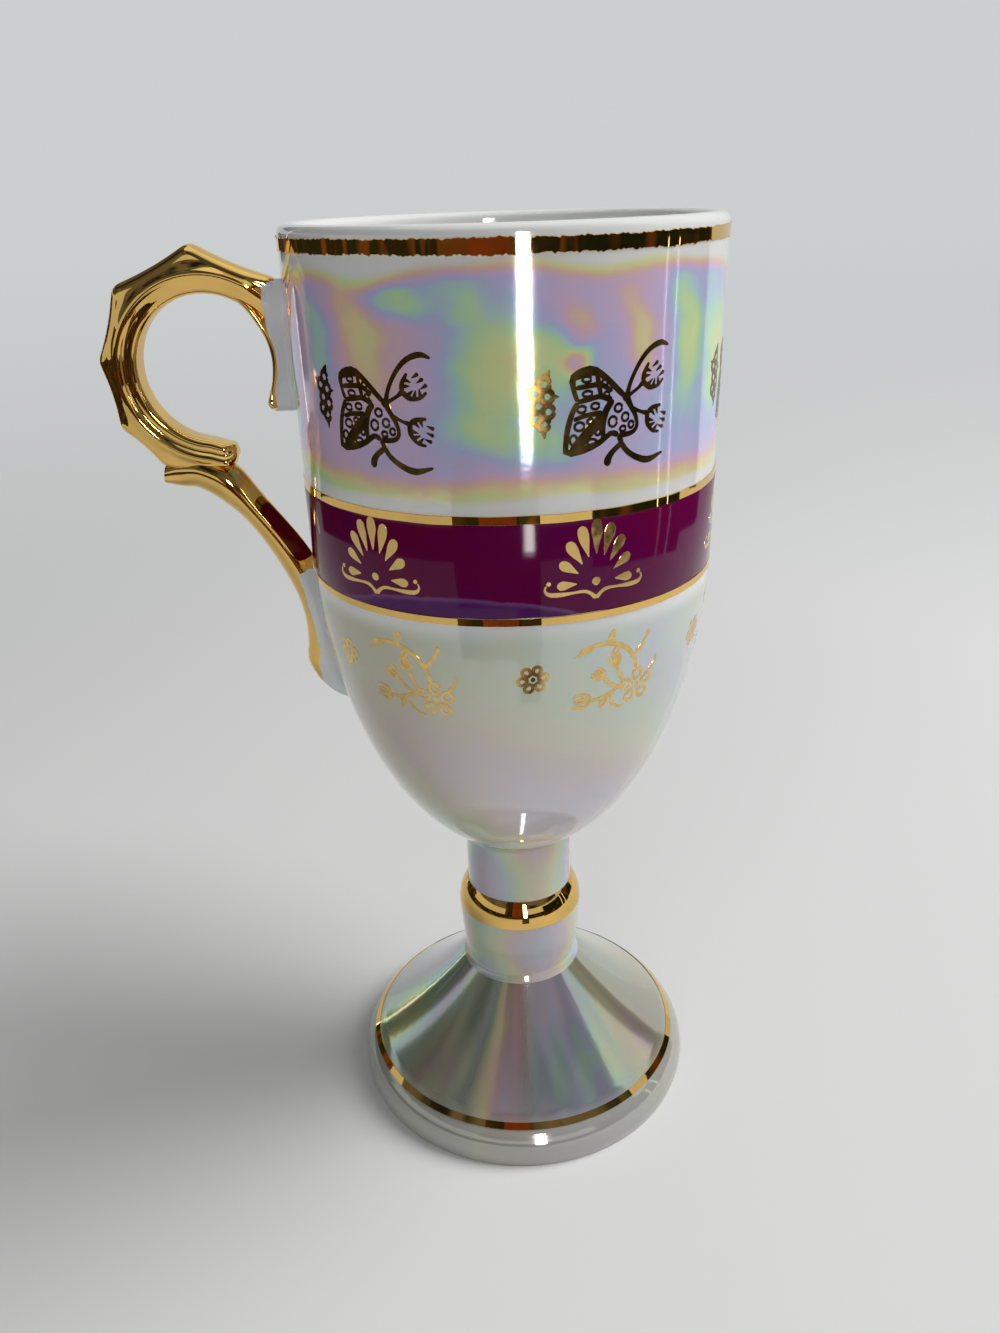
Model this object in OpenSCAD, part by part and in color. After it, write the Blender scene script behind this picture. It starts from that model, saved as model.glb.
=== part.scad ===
// Pedestal demitasse cup: a tall footed cup in lustred porcelain with a gilded scroll handle.
// The origin lies on the cup's axis at the table, +Z is up and the handle points to -X.
// Sizes are in millimetres and angles in degrees.

/* [Bowl] */
// Height of the bowl, from its seat on the stem to the lip
bowl_h = 76.2; // [70:0.1:90]
// Height of the straight wall, from the belly line up to the lip
wall_h = 39; // [36:0.5:42]
// Outer radius under the lip
lip_r = 24.1; // [23:0.1:27]
// How much narrower the wall is at the belly line, where it begins to round in
wall_lean = 0.45; // [0:0.05:1]
// Radius of the flat seat under the bowl
seat_r = 7.1; // [6:0.1:8.5]
// Height above the belly line of the centre of the ellipse that rounds the belly
belly_rise = 4; // [0:0.5:8]
// Thickness of the wall
wall_t = 2; // [1.4:0.1:2.2]
// Thickness of the floor on the axis
floor_t = 3.6; // [2.4:0.1:6]

/* [Stem] */
// Height of the stem between its two joints
stem_h = 20.3; // [17:0.1:26]
// Radius where the stem stands on the foot
collar_r = 7.5; // [6.5:0.1:8.4]
// Largest radius, at the knop
knop_r = 8.35; // [8:0.05:11]
// Height of the knop above the stem's base
knop_z = 8.6; // [5:0.1:10]
// Height of the gilded slope between the knop and the neck
slope_h = 3.5; // [3:0.1:5]
// Radius at the foot of the neck
neck_r = 7.1; // [5.5:0.1:7.8]
// Radius of the hollow inside the stem
bore_r = 4.2; // [2.5:0.1:5]

/* [Foot] */
// Height of the foot
foot_h = 17.9; // [14:0.1:24]
// Largest radius of the foot
foot_r = 23.4; // [22:0.05:30]
// Radius of the rounded edge
edge_r = 4.4; // [3:0.1:5]
// Height of the rounded edge's middle above the table
edge_z = 1.5; // [1:0.1:2.5]
// Width of the ledge around the stem on top of the foot
ledge_w = 0.3; // [0.1:0.1:1]
// Width of the straight land next to the rounded edge
land_w = 2; // [1.6:0.1:4]
// Depth of the hollow flare between the land and the stem
flare_sag = 0.5; // [0:0.1:1]
// Thickness of the foot's wall
foot_t = 3; // [2:0.1:4]
// Inner radius of the ring that the cup stands on
ring_in_r = 20.4; // [16:0.1:21]

/* [Handle] */
// Depth of the finger hole's centre below the lip
hole_drop = 15; // [14:0.1:18]
// Distance of the finger hole's centre from the bowl's wall
hole_out = 9.5; // [8.7:0.1:10.5]
// Radius of the finger hole
hole_r = 8; // [6.5:0.1:8.3]
// Width of the round bead along the finger hole
bead_w = 1.2; // [0.8:0.1:1.4]
// Distance of the smooth crest from the finger hole
crest_w = 1.7; // [1.6:0.1:2.4]
// Distance of the knuckles' corners from the finger hole, before they are rounded
knuckle_w = 4.8; // [4:0.1:6]
// Length of the rounding on each side of a knuckle's corner
knuckle_round = 1.6; // [0.2:0.1:2]
// Depth of the hollow facet between two knuckles
facet_sag = 0.35; // [0:0.05:0.8]
// Thickness of the handle across the crest
crest_t = 4.6; // [3.6:0.1:6]
// Thickness of the bead
bead_t = 4; // [3:0.1:5]
// Thickness at the knuckles
knuckle_t = 1.8; // [1:0.1:3]
// Depth of the groove between the bead and the crest
groove_d = 0.3; // [0.1:0.05:0.5]
// Thickness of the pads against the bowl
pad_t = 3.6; // [3:0.1:3.8]
// Length of the upper pad's lap over the ring's end
pad_lap = 2.4; // [1:0.1:3]
// Height of the upper pad's lower end below the finger hole's centre
pad_drop = 5; // [4.5:0.1:5.6]
// Radius of the drop at the end of the bead's tail
drop_r = 0.8; // [0.7:0.05:1.1]
// Radius of the curl at the ring's lower end
curl_r = 1.1; // [0.8:0.1:1.4]
// Height of the spur under the ring
spur_h = 2; // [1:0.1:3]
// Thickness of the spur
spur_t = 3.2; // [2:0.1:4]
// Width of the arm, seen from the side
arm_w = 4.3; // [3.4:0.1:5]
// Thickness of the arm across its crest
arm_t = 4.4; // [3.4:0.1:5.4]
// Depth of the arm's lower end below the lip
arm_drop = 48; // [44:0.5:50]
// Distance of the arm's outer edge from the wall at its lower end
toe_out = 3.1; // [2.4:0.1:3.6]
// Height of the toe below the arm's lower end
toe_h = 8; // [6:0.5:10]

/* [Decoration] */
// Thickness of the fired gold and enamel
gilt_t = 0.1; // [0.05:0.01:0.2]
// Depth of the rim's gold band below the lip
rim_band_drop = 1.2; // [1.1:0.1:3]
// Height of the rim's gold band
rim_band_h = 1.4; // [0.8:0.1:2]
// Depth of the enamel band below the lip
enamel_drop = 27.4; // [26:0.1:27.4]
// Height of the enamel band
enamel_h = 9.9; // [6:0.1:10.2]
// Height of the gold line above the enamel band
upper_line_h = 0.9; // [0.4:0.1:1.4]
// Height of the gold line below the enamel band
lower_line_h = 0.8; // [0.4:0.1:1.2]
// Distance of the foot's gold line from the rounded edge
foot_line_in = 0.3; // [0:0.1:0.6]
// Width of the gold line around the foot
foot_line_w = 0.9; // [0.4:0.1:1]

/* [Joints] */
// Thickness of the fired slip between two castings
slip_t = 0.3; // [0.1:0.05:0.5]
// Gap between the painted bands and the handle
paint_gap = 0.2; // [0.1:0.05:0.5]

/* [Hidden] */
$fn = 96;
curve_steps = 20;
facet_steps = 5;
round_steps = 4;
// Directions of the knuckles around the finger hole, from the bowl over the top to the spur
knuckles = [49, 93, 137, 175, 210, 238];
// How far each knuckle's corner stands out past the common radius
knuckle_lift = [-0.5, 0.55, 0.45, -0.15, 0.25, 0.1];
// Direction in which the arm leaves the ring, and of the curl and the tail's drop
arm_dir = 256;
curl_dir = 274;
drop_dir = -32;
// Angle by which the spur's tip leans towards the bowl
spur_lean = 4;
// Roundness of the arm's section: 2 is an ellipse and 1 a diamond
arm_round = 1.5;
// Angle by which the ends of a swept piece run on into their neighbours
bury = 6;
// Length by which a cutting shape stands out past the piece it cuts
cut = 1;

// Heights of the stacked castings
stem_z = foot_h + slip_t;
bowl_z = stem_z + stem_h + slip_t;
lip_z = bowl_z + bowl_h;
belly_z = lip_z - wall_h;

// Ellipse of the lower bowl, through the belly line and the seat
belly_r = lip_r - wall_lean;
ellipse_z = belly_z + belly_rise;
seat_share = pow(seat_r / belly_r, 2);
ellipse_k = (1 - seat_share) / (pow(ellipse_z - bowl_z, 2) - seat_share * pow(belly_rise, 2));
ellipse_h = 1 / sqrt(ellipse_k);
ellipse_r = belly_r / sqrt(1 - ellipse_k * pow(belly_rise, 2));
lip_round = wall_t / 2;

// Rounded edge and cone of the foot: the land is tangent to the edge
edge_c = [foot_r - edge_r, edge_z];
cone_top = [collar_r + ledge_w, foot_h];
cone_dir = atan2(cone_top.y - edge_c.y, cone_top.x - edge_c.x)
    - acos(edge_r / norm(cone_top - edge_c));
cone_out = [cos(cone_dir), sin(cone_dir)];
cone_up = [-cone_out.y, cone_out.x];
land_start = edge_c + edge_r * cone_out;
land_end = land_start + land_w * cone_up;

// Finger hole and ring of the handle
hole_z = lip_z - hole_drop;
hole_x = -(wall_at(hole_z) + hole_out);
crest_r = hole_r + crest_w;
knuckle_r = hole_r + knuckle_w;

// Arc of the arm: it springs from the ring and ends upright beside the wall
arm_start = [hole_x, hole_z] + polar(knuckle_r - arm_w / 5, arm_dir);
arm_end_z = lip_z - arm_drop;
arm_end = [-(wall_at(arm_end_z) + toe_out - arm_w / 2), arm_end_z];
arm_span = arm_end - arm_start;
arm_r = (pow(arm_span.x, 2) + pow(arm_span.y, 2)) / (2 * arm_span.x);
arm_c = [arm_end.x - arm_r, arm_end.y];
arm_top_dir = atan2(arm_start.y - arm_c.y, arm_start.x - arm_c.x) + bury;
arm_low_dir = -bury;

// Point at distance r in direction a
function polar(r, a) = r * [cos(a), sin(a)];

// Corner of a knuckle, from the finger hole's centre
function knuckle(i) = polar(knuckle_r + knuckle_lift[i], knuckles[i]);

// Point at distance d from p towards q
function towards(p, q, d) = p + d * (q - p) / norm(q - p);

// Points of a circular arc
function arc(c, r, a0, a1, n = curve_steps) = [for (i = [0:n]) c + polar(r, a0 + (a1 - a0) * i / n)];

// Points of a shallow curve from p to q that dips by sag to its left
function dip(p, q, sag, n) =
    let (left = [p.y - q.y, q.x - p.x] / norm(q - p))
    [for (i = [0:n]) let (t = i / n) p + t * (q - p) + 4 * sag * t * (1 - t) * left];

// Radius of an arc that leaves an upright line and falls back by run over a height
function bulge_r(run, height) = (run * run + height * height) / (2 * run);

// Outer radius of the bowl at height z
function wall_at(z) = z >= belly_z
    ? belly_r + wall_lean * (z - belly_z) / (wall_h - lip_round)
    : ellipse_r * sqrt(max(0, 1 - ellipse_k * pow(ellipse_z - z, 2)));

// Outer outline of the bowl from the seat to the lip's rounding, grown outwards by out
function bowl_side(out = 0) = [
    for (i = [0:curve_steps])
        let (
            low = asin((ellipse_z - bowl_z) / ellipse_h),
            high = asin(belly_rise / ellipse_h),
            z = ellipse_z - ellipse_h * sin(low + (high - low) * i / curve_steps)
        ) [wall_at(z) + out, z],
    [lip_r + out, lip_z - lip_round],
];

// Inner outline of the bowl from the lip down to the middle of the floor
function bowl_inside() = [
    for (i = [0:curve_steps])
        let (a = 90 * i / curve_steps)
        [(belly_r - wall_t) * cos(a), belly_z - (belly_z - bowl_z - floor_t) * sin(a)],
];

// Outline of the stem from the foot joint to the bowl joint
function stem_side() = concat(
    arc([knop_r - stem_low_r, stem_z + knop_z], stem_low_r, -asin(knop_z / stem_low_r), 0),
    arc(slope_c, slope_r, 0, slope_end),
    [[seat_r, stem_z + stem_h]]
);
stem_low_r = bulge_r(knop_r - collar_r, knop_z);
slope_r = bulge_r(knop_r - neck_r, slope_h);
slope_c = [knop_r - slope_r, stem_z + knop_z];
slope_end = asin(slope_h / slope_r);

// Closed section made of one side's points and their mirror image across the handle's middle
function both_sides(pts) = concat(pts, [for (i = [len(pts) - 1:-1:0]) [pts[i].x, -pts[i].y]]);

// Rounded side of the bead along the finger hole, up to direction a1
function bead_side(a1) =
    let (b = bead_w / 2)
    arc([hole_r + b, bead_t / 2 - b], b, 180, a1, curve_steps / 2);

// Section of the ring, from the finger hole out past the knuckles
function ring_section() =
    let (slope = (crest_t - knuckle_t) / 2 / (knuckle_r - crest_r))
    both_sides(concat(
        bead_side(45),
        [
            [crest_r - crest_w / 5, crest_t / 2 - groove_d],
            [crest_r, crest_t / 2],
            [knuckle_r + cut, knuckle_t / 2 - slope * cut],
        ]
    ));

// Points inside the rounding of knuckle i: a quadratic curve that its corner draws out
function knuckle_rounding(i) =
    let (
        p = knuckle(i),
        a = towards(p, knuckle(i - 1), knuckle_round),
        b = towards(p, knuckle(i + 1), knuckle_round)
    )
    [for (k = [1:round_steps - 1])
        let (t = k / round_steps) (1 - t) * (1 - t) * a + 2 * t * (1 - t) * p + t * t * b];

// Hollow facet between knuckle i and the next, without their roundings
function facet(i) =
    let (p = knuckle(i), q = knuckle(i + 1), last = len(knuckles) - 2)
    dip(
        i == 0 ? p : towards(p, q, knuckle_round),
        i == last ? q : towards(q, p, knuckle_round),
        facet_sag, facet_steps
    );

// Outline of the ring seen from the side: hollow facets and rounded knuckles, closed at the centre
function ring_outline() = concat(
    [[0, 0]],
    [for (i = [0:len(knuckles) - 2])
        each concat(i == 0 ? [] : knuckle_rounding(i), facet(i))],
    [polar(crest_r + curl_r, curl_dir)]
);

// Rounded diamond section of the arm, about its own middle
function arm_section() = [
    for (i = [0:31])
        let (a = 360 * i / 32, c = cos(a), s = sin(a), e = 2 / arm_round)
        [sign(c) * pow(abs(c), e) * arm_w / 2, sign(s) * pow(abs(s), e) * arm_t / 2],
];

// Solid of revolution from an outline that starts and ends on the axis
module turned(pts) {
    rotate_extrude() polygon(pts);
}

// Flat shape in the plane of the handle, given thickness t
module slab(t) {
    rotate([90, 0, 0]) linear_extrude(t, center = true) children();
}

// Shapes drawn about an axis through p, square to the plane of the handle
module about(p) {
    translate([p.x, 0, p.y]) rotate([90, 0, 0]) children();
}

// Space taken by the bowl, grown outwards by out
module bowl_space(out) {
    side = bowl_side(out);
    turned(concat([[0, bowl_z]], side, [[0, lip_z - lip_round]]));
}

// Side view of the upper pad, from the finger hole into the bowl's wall
module upper_pad_shape() {
    left = hole_x + knuckle(0).x - pad_lap;
    bottom = hole_z - pad_drop;
    top = hole_z + knuckle(0).y;
    difference() {
        translate([left, bottom]) square([-left - lip_r + 2 * wall_t, top - bottom]);
        translate([hole_x, hole_z]) circle(hole_r + bead_w / 4);
    }
}

// Side view of the toe and of the arm's lower end above it, from the arm's middle to the wall
module lower_pad_shape() {
    toe_w = toe_out + slip_t + cut;
    toe_c = [arm_end.x - arm_w / 2 + toe_w, arm_end.y];
    edge_r = arm_r + arm_w / 2;
    polygon(concat(
        [toe_c + [toe_w, -toe_h]],
        [for (i = [0:curve_steps / 2])
            let (a = 180 * i / curve_steps)
            toe_c - [toe_w * sin(a), toe_h * cos(a)]],
        [arm_end],
        arc(arm_c, edge_r, acos(arm_r / edge_r), 0, curve_steps / 2),
        [toe_c + [toe_w, 0]]
    ));
}

// Thin layer on the bowl's wall between heights z0 and z1
module wall_band(z0, z1) {
    turned([
        [wall_at(z0), z0],
        [wall_at(z0) + gilt_t, z0],
        [wall_at(z1) + gilt_t, z1],
        [wall_at(z1), z1],
    ]);
}

module bowl() {
    lip_c = [lip_r - lip_round, lip_z - lip_round];
    color("whitesmoke") turned(concat(
        [[0, bowl_z]],
        bowl_side(),
        arc(lip_c, lip_round, 180 / curve_steps, 180),
        bowl_inside()
    ));
}

module stem() {
    color("gainsboro") difference() {
        turned(concat([[0, stem_z]], stem_side(), [[0, stem_z + stem_h]]));
        translate([0, 0, stem_z - cut]) cylinder(h = stem_h + 2 * cut, r = bore_r);
    }
}

module foot() {
    inner = land_start - foot_t * cone_out;
    rise = -cone_out.x / cone_out.y;
    color("gainsboro") difference() {
        turned(concat(
            [[0, 0]],
            arc(edge_c, edge_r, -asin(edge_z / edge_r), cone_dir),
            dip(land_end, cone_top, flare_sag, curve_steps / 2),
            [[0, foot_h]]
        ));
        turned([
            [0, -cut],
            [ring_in_r, -cut],
            [ring_in_r, inner.y + rise * (ring_in_r - inner.x)],
            [bore_r, inner.y + rise * (bore_r - inner.x)],
            [0, inner.y + rise * (bore_r - inner.x)],
        ]);
        cylinder(h = foot_h + cut, r = bore_r);
    }
}

module handle_ring() {
    hole = [hole_x, hole_z];
    intersection() {
        about(hole) rotate_extrude() polygon(ring_section());
        slab(2 * crest_t) translate(hole) polygon(ring_outline());
    }
    about(hole) rotate([0, 0, drop_dir])
        rotate_extrude(angle = knuckles[0] + bury - drop_dir) polygon(both_sides(bead_side(0)));
    about(hole + polar(crest_r, curl_dir)) cylinder(h = bead_t, r = curl_r, center = true);
    about(hole + polar(hole_r + bead_w / 2, drop_dir))
        cylinder(h = bead_t, r = drop_r, center = true);
}

module handle_arm() {
    about(arm_c) rotate([0, 0, arm_low_dir])
        rotate_extrude(angle = arm_top_dir - arm_low_dir)
            translate([arm_r, 0]) polygon(arm_section());
    last = len(knuckles) - 1;
    slab(spur_t) translate([hole_x, hole_z]) polygon([
        polar(crest_r, knuckles[last]),
        knuckle(last),
        polar(knuckle_r + spur_h, knuckles[last] + spur_lean),
        polar(knuckle_r + arm_w / 3, arm_dir),
        polar(crest_r, arm_dir + 2 * bury),
    ]);
}

module handle() {
    color("goldenrod") difference() {
        union() {
            handle_ring();
            handle_arm();
            slab(pad_t) upper_pad_shape();
            slab(pad_t) lower_pad_shape();
        }
        bowl_space(slip_t);
    }
}

// Fired slip on the bowl's wall under one of the handle's pads
module pad_joint() {
    color("white") intersection() {
        difference() {
            bowl_space(slip_t);
            bowl_space(0);
        }
        slab(pad_t) children();
    }
}

module upper_handle_joint() {
    pad_joint() upper_pad_shape();
}

module lower_handle_joint() {
    pad_joint() lower_pad_shape();
}

// Fired slip between two castings stacked on the axis
module ring_joint(z, r) {
    color("white") translate([0, 0, z]) difference() {
        cylinder(h = slip_t, r = r);
        translate([0, 0, -cut]) cylinder(h = slip_t + 2 * cut, r = bore_r);
    }
}

module bowl_joint() {
    ring_joint(stem_z + stem_h, seat_r);
}

module foot_joint() {
    ring_joint(foot_h, collar_r);
}

module rim_gilt_band() {
    top = lip_z - rim_band_drop;
    color("gold") wall_band(top - rim_band_h, top);
}

module upper_gilt_line() {
    z = lip_z - enamel_drop;
    color("gold") wall_band(z, z + upper_line_h);
}

module burgundy_band() {
    top = lip_z - enamel_drop;
    color("#5c0a3c") difference() {
        wall_band(top - enamel_h, top);
        slab(pad_t + 2 * paint_gap) lower_pad_shape();
    }
}

module lower_gilt_line() {
    low = lip_z - enamel_drop - enamel_h - lower_line_h;
    gap = pad_t + 2 * paint_gap;
    color("gold") difference() {
        wall_band(low, low + lower_line_h);
        translate([-lip_r - cut, -gap / 2, low - cut]) cube([lip_r, gap, lower_line_h + 2 * cut]);
    }
}

module stem_gilt_band() {
    color("gold") turned(concat(
        arc(slope_c, slope_r + gilt_t, 0, slope_end),
        arc(slope_c, slope_r, slope_end, 0)
    ));
}

module foot_gilt_line() {
    low = land_start + foot_line_in * cone_up;
    high = low + foot_line_w * cone_up;
    color("gold") turned([low, low + gilt_t * cone_out, high + gilt_t * cone_out, high]);
}

bowl();
stem();
foot();
handle();
bowl_joint();
foot_joint();
upper_handle_joint();
lower_handle_joint();
rim_gilt_band();
upper_gilt_line();
burgundy_band();
lower_gilt_line();
stem_gilt_band();
foot_gilt_line();
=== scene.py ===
"""Pedestal demitasse cup in lustred porcelain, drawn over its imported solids.

Shapes are worked out in millimetres in the frame of the solids: the cup's axis is Z, the table is z = 0 and
the handle points to -X. Directions round the axis start at -Y and grow towards +X. Meshes are in metres.
"""
import math
from types import SimpleNamespace

import bpy
import numpy as np
from mathutils import Matrix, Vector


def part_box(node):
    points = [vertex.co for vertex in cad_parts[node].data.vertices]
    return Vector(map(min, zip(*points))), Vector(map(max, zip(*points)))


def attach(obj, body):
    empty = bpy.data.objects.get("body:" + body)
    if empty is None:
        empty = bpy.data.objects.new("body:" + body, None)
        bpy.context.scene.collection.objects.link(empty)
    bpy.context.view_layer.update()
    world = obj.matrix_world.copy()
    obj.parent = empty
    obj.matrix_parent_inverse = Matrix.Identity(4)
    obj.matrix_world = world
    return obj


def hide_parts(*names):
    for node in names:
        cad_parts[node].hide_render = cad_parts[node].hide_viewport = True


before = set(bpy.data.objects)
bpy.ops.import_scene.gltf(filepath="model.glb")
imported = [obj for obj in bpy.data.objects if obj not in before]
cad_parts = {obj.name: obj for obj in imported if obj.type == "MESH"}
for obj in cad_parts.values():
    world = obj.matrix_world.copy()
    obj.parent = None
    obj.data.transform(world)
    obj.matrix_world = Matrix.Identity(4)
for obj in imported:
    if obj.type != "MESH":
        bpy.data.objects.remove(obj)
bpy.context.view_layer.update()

bl_info = {
    "name": "Pedestal demitasse cup",
    "version": (1, 0, 0),
    "blender": (4, 5, 0),
    "location": "View3D > Sidebar > Cup",
    "description": "Footed porcelain cup with lustre, enamel, gilding and a knuckled ring handle",
    "category": "Add Mesh",
}


# Properties

def length(name, mm, text):
    """A length property, given in millimetres and kept in metres."""
    return bpy.props.FloatProperty(name=name, description=text, default=mm / 1000, unit="LENGTH", precision=5)


def colour(name, rgb, text):
    """A colour property in linear red, green and blue."""
    return bpy.props.FloatVectorProperty(name=name, description=text, default=rgb, subtype="COLOR", size=3,
                                         min=0, max=1)


def share(name, value, text):
    """A property between 0 and 1."""
    return bpy.props.FloatProperty(name=name, description=text, default=value, min=0, max=1, subtype="FACTOR")


def group(kind, name, text):
    """A property that holds a group of properties."""
    return bpy.props.PointerProperty(type=kind, name=name, description=text)


def top_of(node):
    """Height of a solid's top, in millimetres."""
    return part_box(node)[1].z * 1000


def bottom_of(node):
    """Height of a solid's underside, in millimetres."""
    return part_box(node)[0].z * 1000


class CupBowlSizes(bpy.types.PropertyGroup):
    """Sizes of the bowl"""
    seat_z: length("Seat height", bottom_of("bowl"), "Height of the bowl's seat above the table")
    lip_z: length("Lip height", top_of("bowl"), "Height of the lip above the table")
    wall_h: length("Wall height", 39, "Height of the straight wall below the lip")
    lip_r: length("Lip radius", 24.1, "Outer radius under the lip")
    lean: length("Wall lean", 0.45, "How much narrower the wall is at the belly line")
    seat_r: length("Seat radius", 7.1, "Radius of the flat seat under the bowl")
    rise: length("Belly rise", 4, "Height of the belly ellipse's centre above the belly line")
    wall_t: length("Wall thickness", 2, "Thickness of the wall")
    floor_t: length("Floor thickness", 3.6, "Thickness of the floor on the axis")


class CupStemSizes(bpy.types.PropertyGroup):
    """Sizes of the stem"""
    low_z: length("Base height", bottom_of("stem"), "Height of the stem's base above the table")
    top_z: length("Top height", top_of("stem"), "Height of the stem's top above the table")
    collar_r: length("Collar radius", 7.5, "Radius where the stem stands on the foot")
    knop_r: length("Knop radius", 8.35, "Largest radius, at the knop")
    knop_up: length("Knop height", 8.6, "Height of the knop above the stem's base")
    slope_h: length("Slope height", 3.5, "Height of the gilded slope above the knop")
    neck_r: length("Neck radius", 7.1, "Radius of the neck")
    bore_r: length("Bore radius", 4.2, "Radius of the hollow inside the stem")


class CupFootSizes(bpy.types.PropertyGroup):
    """Sizes of the foot"""
    top_z: length("Height", top_of("foot"), "Height of the foot")
    foot_r: length("Radius", 23.4, "Largest radius of the foot")
    edge_r: length("Edge rounding", 4.4, "Radius of the rounded edge")
    edge_z: length("Edge height", 1.5, "Height of the rounded edge's middle")
    ledge_w: length("Ledge width", 0.3, "Width of the ledge around the stem")
    land_w: length("Land width", 2, "Width of the straight land next to the edge")
    sag: length("Flare depth", 0.5, "Depth of the hollow flare between land and stem")
    wall_t: length("Wall thickness", 3, "Thickness of the foot's wall")
    ring_in_r: length("Ring inner radius", 20.4, "Inner radius of the standing ring")


class CupHandleSizes(bpy.types.PropertyGroup):
    """Sizes of the handle"""
    hole_x: length("Hole distance", 33.43, "Distance of the finger hole's centre from the axis")
    hole_z: length("Hole height", 100, "Height of the finger hole's centre")
    hole_r: length("Hole radius", 8, "Radius of the finger hole")
    knuckle_r: length("Knuckle radius", 12.8, "Distance of the knuckles from the hole's centre")
    facet_sag: length("Facet depth", 0.3, "Depth of the hollow facets between the knuckles")
    half_t: length("Half thickness", 2.3, "Half the thickness across the smooth crest")
    pad_half_t: length("Pad half thickness", 1.95, "Half the thickness of the upper pad at its nose")
    fillet: length("Glaze fillet", 0.7, "Size of the glaze fillet round the pads")


class CupGiltSizes(bpy.types.PropertyGroup):
    """Sizes of the fired bands and the sprigs"""
    film_t: length("Film thickness", 0.1, "Thickness of the fired bands")
    rim_z: length("Rim band height", bottom_of("rim_gilt_band"), "Height of the rim band's lower edge")
    rim_h: length("Rim band width", 1.4, "Width of the rim band")
    upper_z: length("Upper line height", bottom_of("upper_gilt_line"), "Height of the upper gold line")
    upper_h: length("Upper line width", 0.9, "Width of the upper gold line")
    enamel_z: length("Enamel height", bottom_of("burgundy_band"), "Height of the enamel band's lower edge")
    enamel_h: length("Enamel width", 9.9, "Width of the enamel band")
    lower_z: length("Lower line height", bottom_of("lower_gilt_line"), "Height of the lower gold line")
    lower_h: length("Lower line width", 0.8, "Width of the lower gold line")
    foot_in: length("Foot line inset", 0.3, "Distance of the foot's gold line from the rounded edge")
    foot_w: length("Foot line width", 0.9, "Width of the foot's gold line")
    relief: length("Relief", 0.02, "Height of the gilt sprigs above the glaze")


class CupFinish(bpy.types.PropertyGroup):
    """Colours and gloss of the finishes"""
    porcelain: colour("Porcelain", (0.84, 0.84, 0.82), "White glaze inside the bowl and on the pads")
    # Ivory glaze whose darkness is partly painted shade of the bowl falling over belly, stem and foot
    ivory_with_painted_shade: colour("Ivory", (0.42, 0.415, 0.38), "Glaze under the faint lustre of belly, stem and foot")
    gold: colour("Gold", (0.90, 0.58, 0.17), "Burnished gold")
    # The dark gilt is darker in part as painted reflection: its colour adds in the dark room that the upper wall
    # reflects
    dark_gold: colour("Dark gilt", (0.26, 0.165, 0.05), "Gilding of the upper sprigs")
    pale_gold: colour("Pale gilt", (0.88, 0.60, 0.22), "Gilding of the lower sprays and the palmettes")
    burgundy: colour("Burgundy", (0.132, 0.001, 0.044), "Enamel band")
    floor: colour("Floor", (0.78, 0.78, 0.775), "Floor under the cup")
    gloss: share("Glaze roughness", 0.06, "Roughness of the glaze")


class CupSettings(bpy.types.PropertyGroup):
    """All settings of the cup, by group"""
    bowl: group(CupBowlSizes, "Bowl", "Sizes of the bowl")
    stem: group(CupStemSizes, "Stem", "Sizes of the stem")
    foot: group(CupFootSizes, "Foot", "Sizes of the foot")
    handle: group(CupHandleSizes, "Handle", "Sizes of the handle")
    gilt: group(CupGiltSizes, "Gilding", "Sizes of the fired bands")
    finish: group(CupFinish, "Finish", "Colours of the finishes")


def in_mm(sizes):
    """The lengths of a property group in millimetres, by name."""
    return SimpleNamespace(**{name: getattr(sizes, name) * 1000 for name in type(sizes).__annotations__})


# Curves and grids

def polar(r, degrees):
    """Points at distance r in a direction given in degrees, as an array of pairs."""
    a = np.radians(degrees)
    return np.stack([r * np.cos(a), r * np.sin(a)], axis=-1)


def arc(centre, r, start, end, n):
    """Points of a circular arc between two directions in degrees."""
    return np.asarray(centre) + polar(r, np.linspace(start, end, n))


def curve(points, n, ends=False):
    """Catmull-Rom spline through the points, at n steps that crowd towards both ends if asked."""
    p = np.asarray(points, float)
    ext = np.vstack([2 * p[0] - p[1], p, 2 * p[-1] - p[-2]])
    t = np.linspace(0, 1, n)
    if ends:
        t = (1 - np.cos(np.pi * t)) / 2
    t = t * (len(p) - 1)
    i = np.minimum(t.astype(int), len(p) - 2)
    f = (t - i)[:, None]
    a, b, c, d = ext[i], ext[i + 1], ext[i + 2], ext[i + 3]
    return 0.5 * (2 * b + (c - a) * f + (2 * a - 5 * b + 4 * c - d) * f ** 2 + (3 * b - a - 3 * c + d) * f ** 3)


def smooth(x, low, high):
    """0 below low, 1 above high and an S-curve between them."""
    t = np.clip((x - low) / (high - low), 0, 1)
    return t * t * (3 - 2 * t)


def bump(x, centre, width):
    """Bell curve of height 1."""
    return np.exp(-((x - centre) / width) ** 2)


def bulge(run, height):
    """Radius of an arc that leaves an upright line and falls back by run over a height."""
    return (run * run + height * height) / (2 * run)


def rounded_end(x):
    """1 up to x = 0, then a quarter circle down to 0 at x = 1."""
    return np.sqrt(np.clip(1 - np.clip(x, 0, None) ** 2, 0, 1))


def ripple(a, *waves):
    """Sum of sines round the axis, each given by its size, its count and its shift."""
    return sum(size * np.sin(count * a + shift) for size, count, shift in waves)


def hollow_line(p, q, sag, n):
    """Line of n points from p to q, pushed to its left by a parabola that is sag high."""
    t = np.linspace(0, 1, n)[:, None]
    left = np.array([p[1] - q[1], q[0] - p[0]]) / np.linalg.norm(q - p)
    return p + t * (q - p) + 4 * sag * t * (1 - t) * left


def squared(x, power):
    """Number raised to a power with its sign kept, which squares off a circle or pinches it."""
    return np.sign(x) * np.abs(x) ** power


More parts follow.
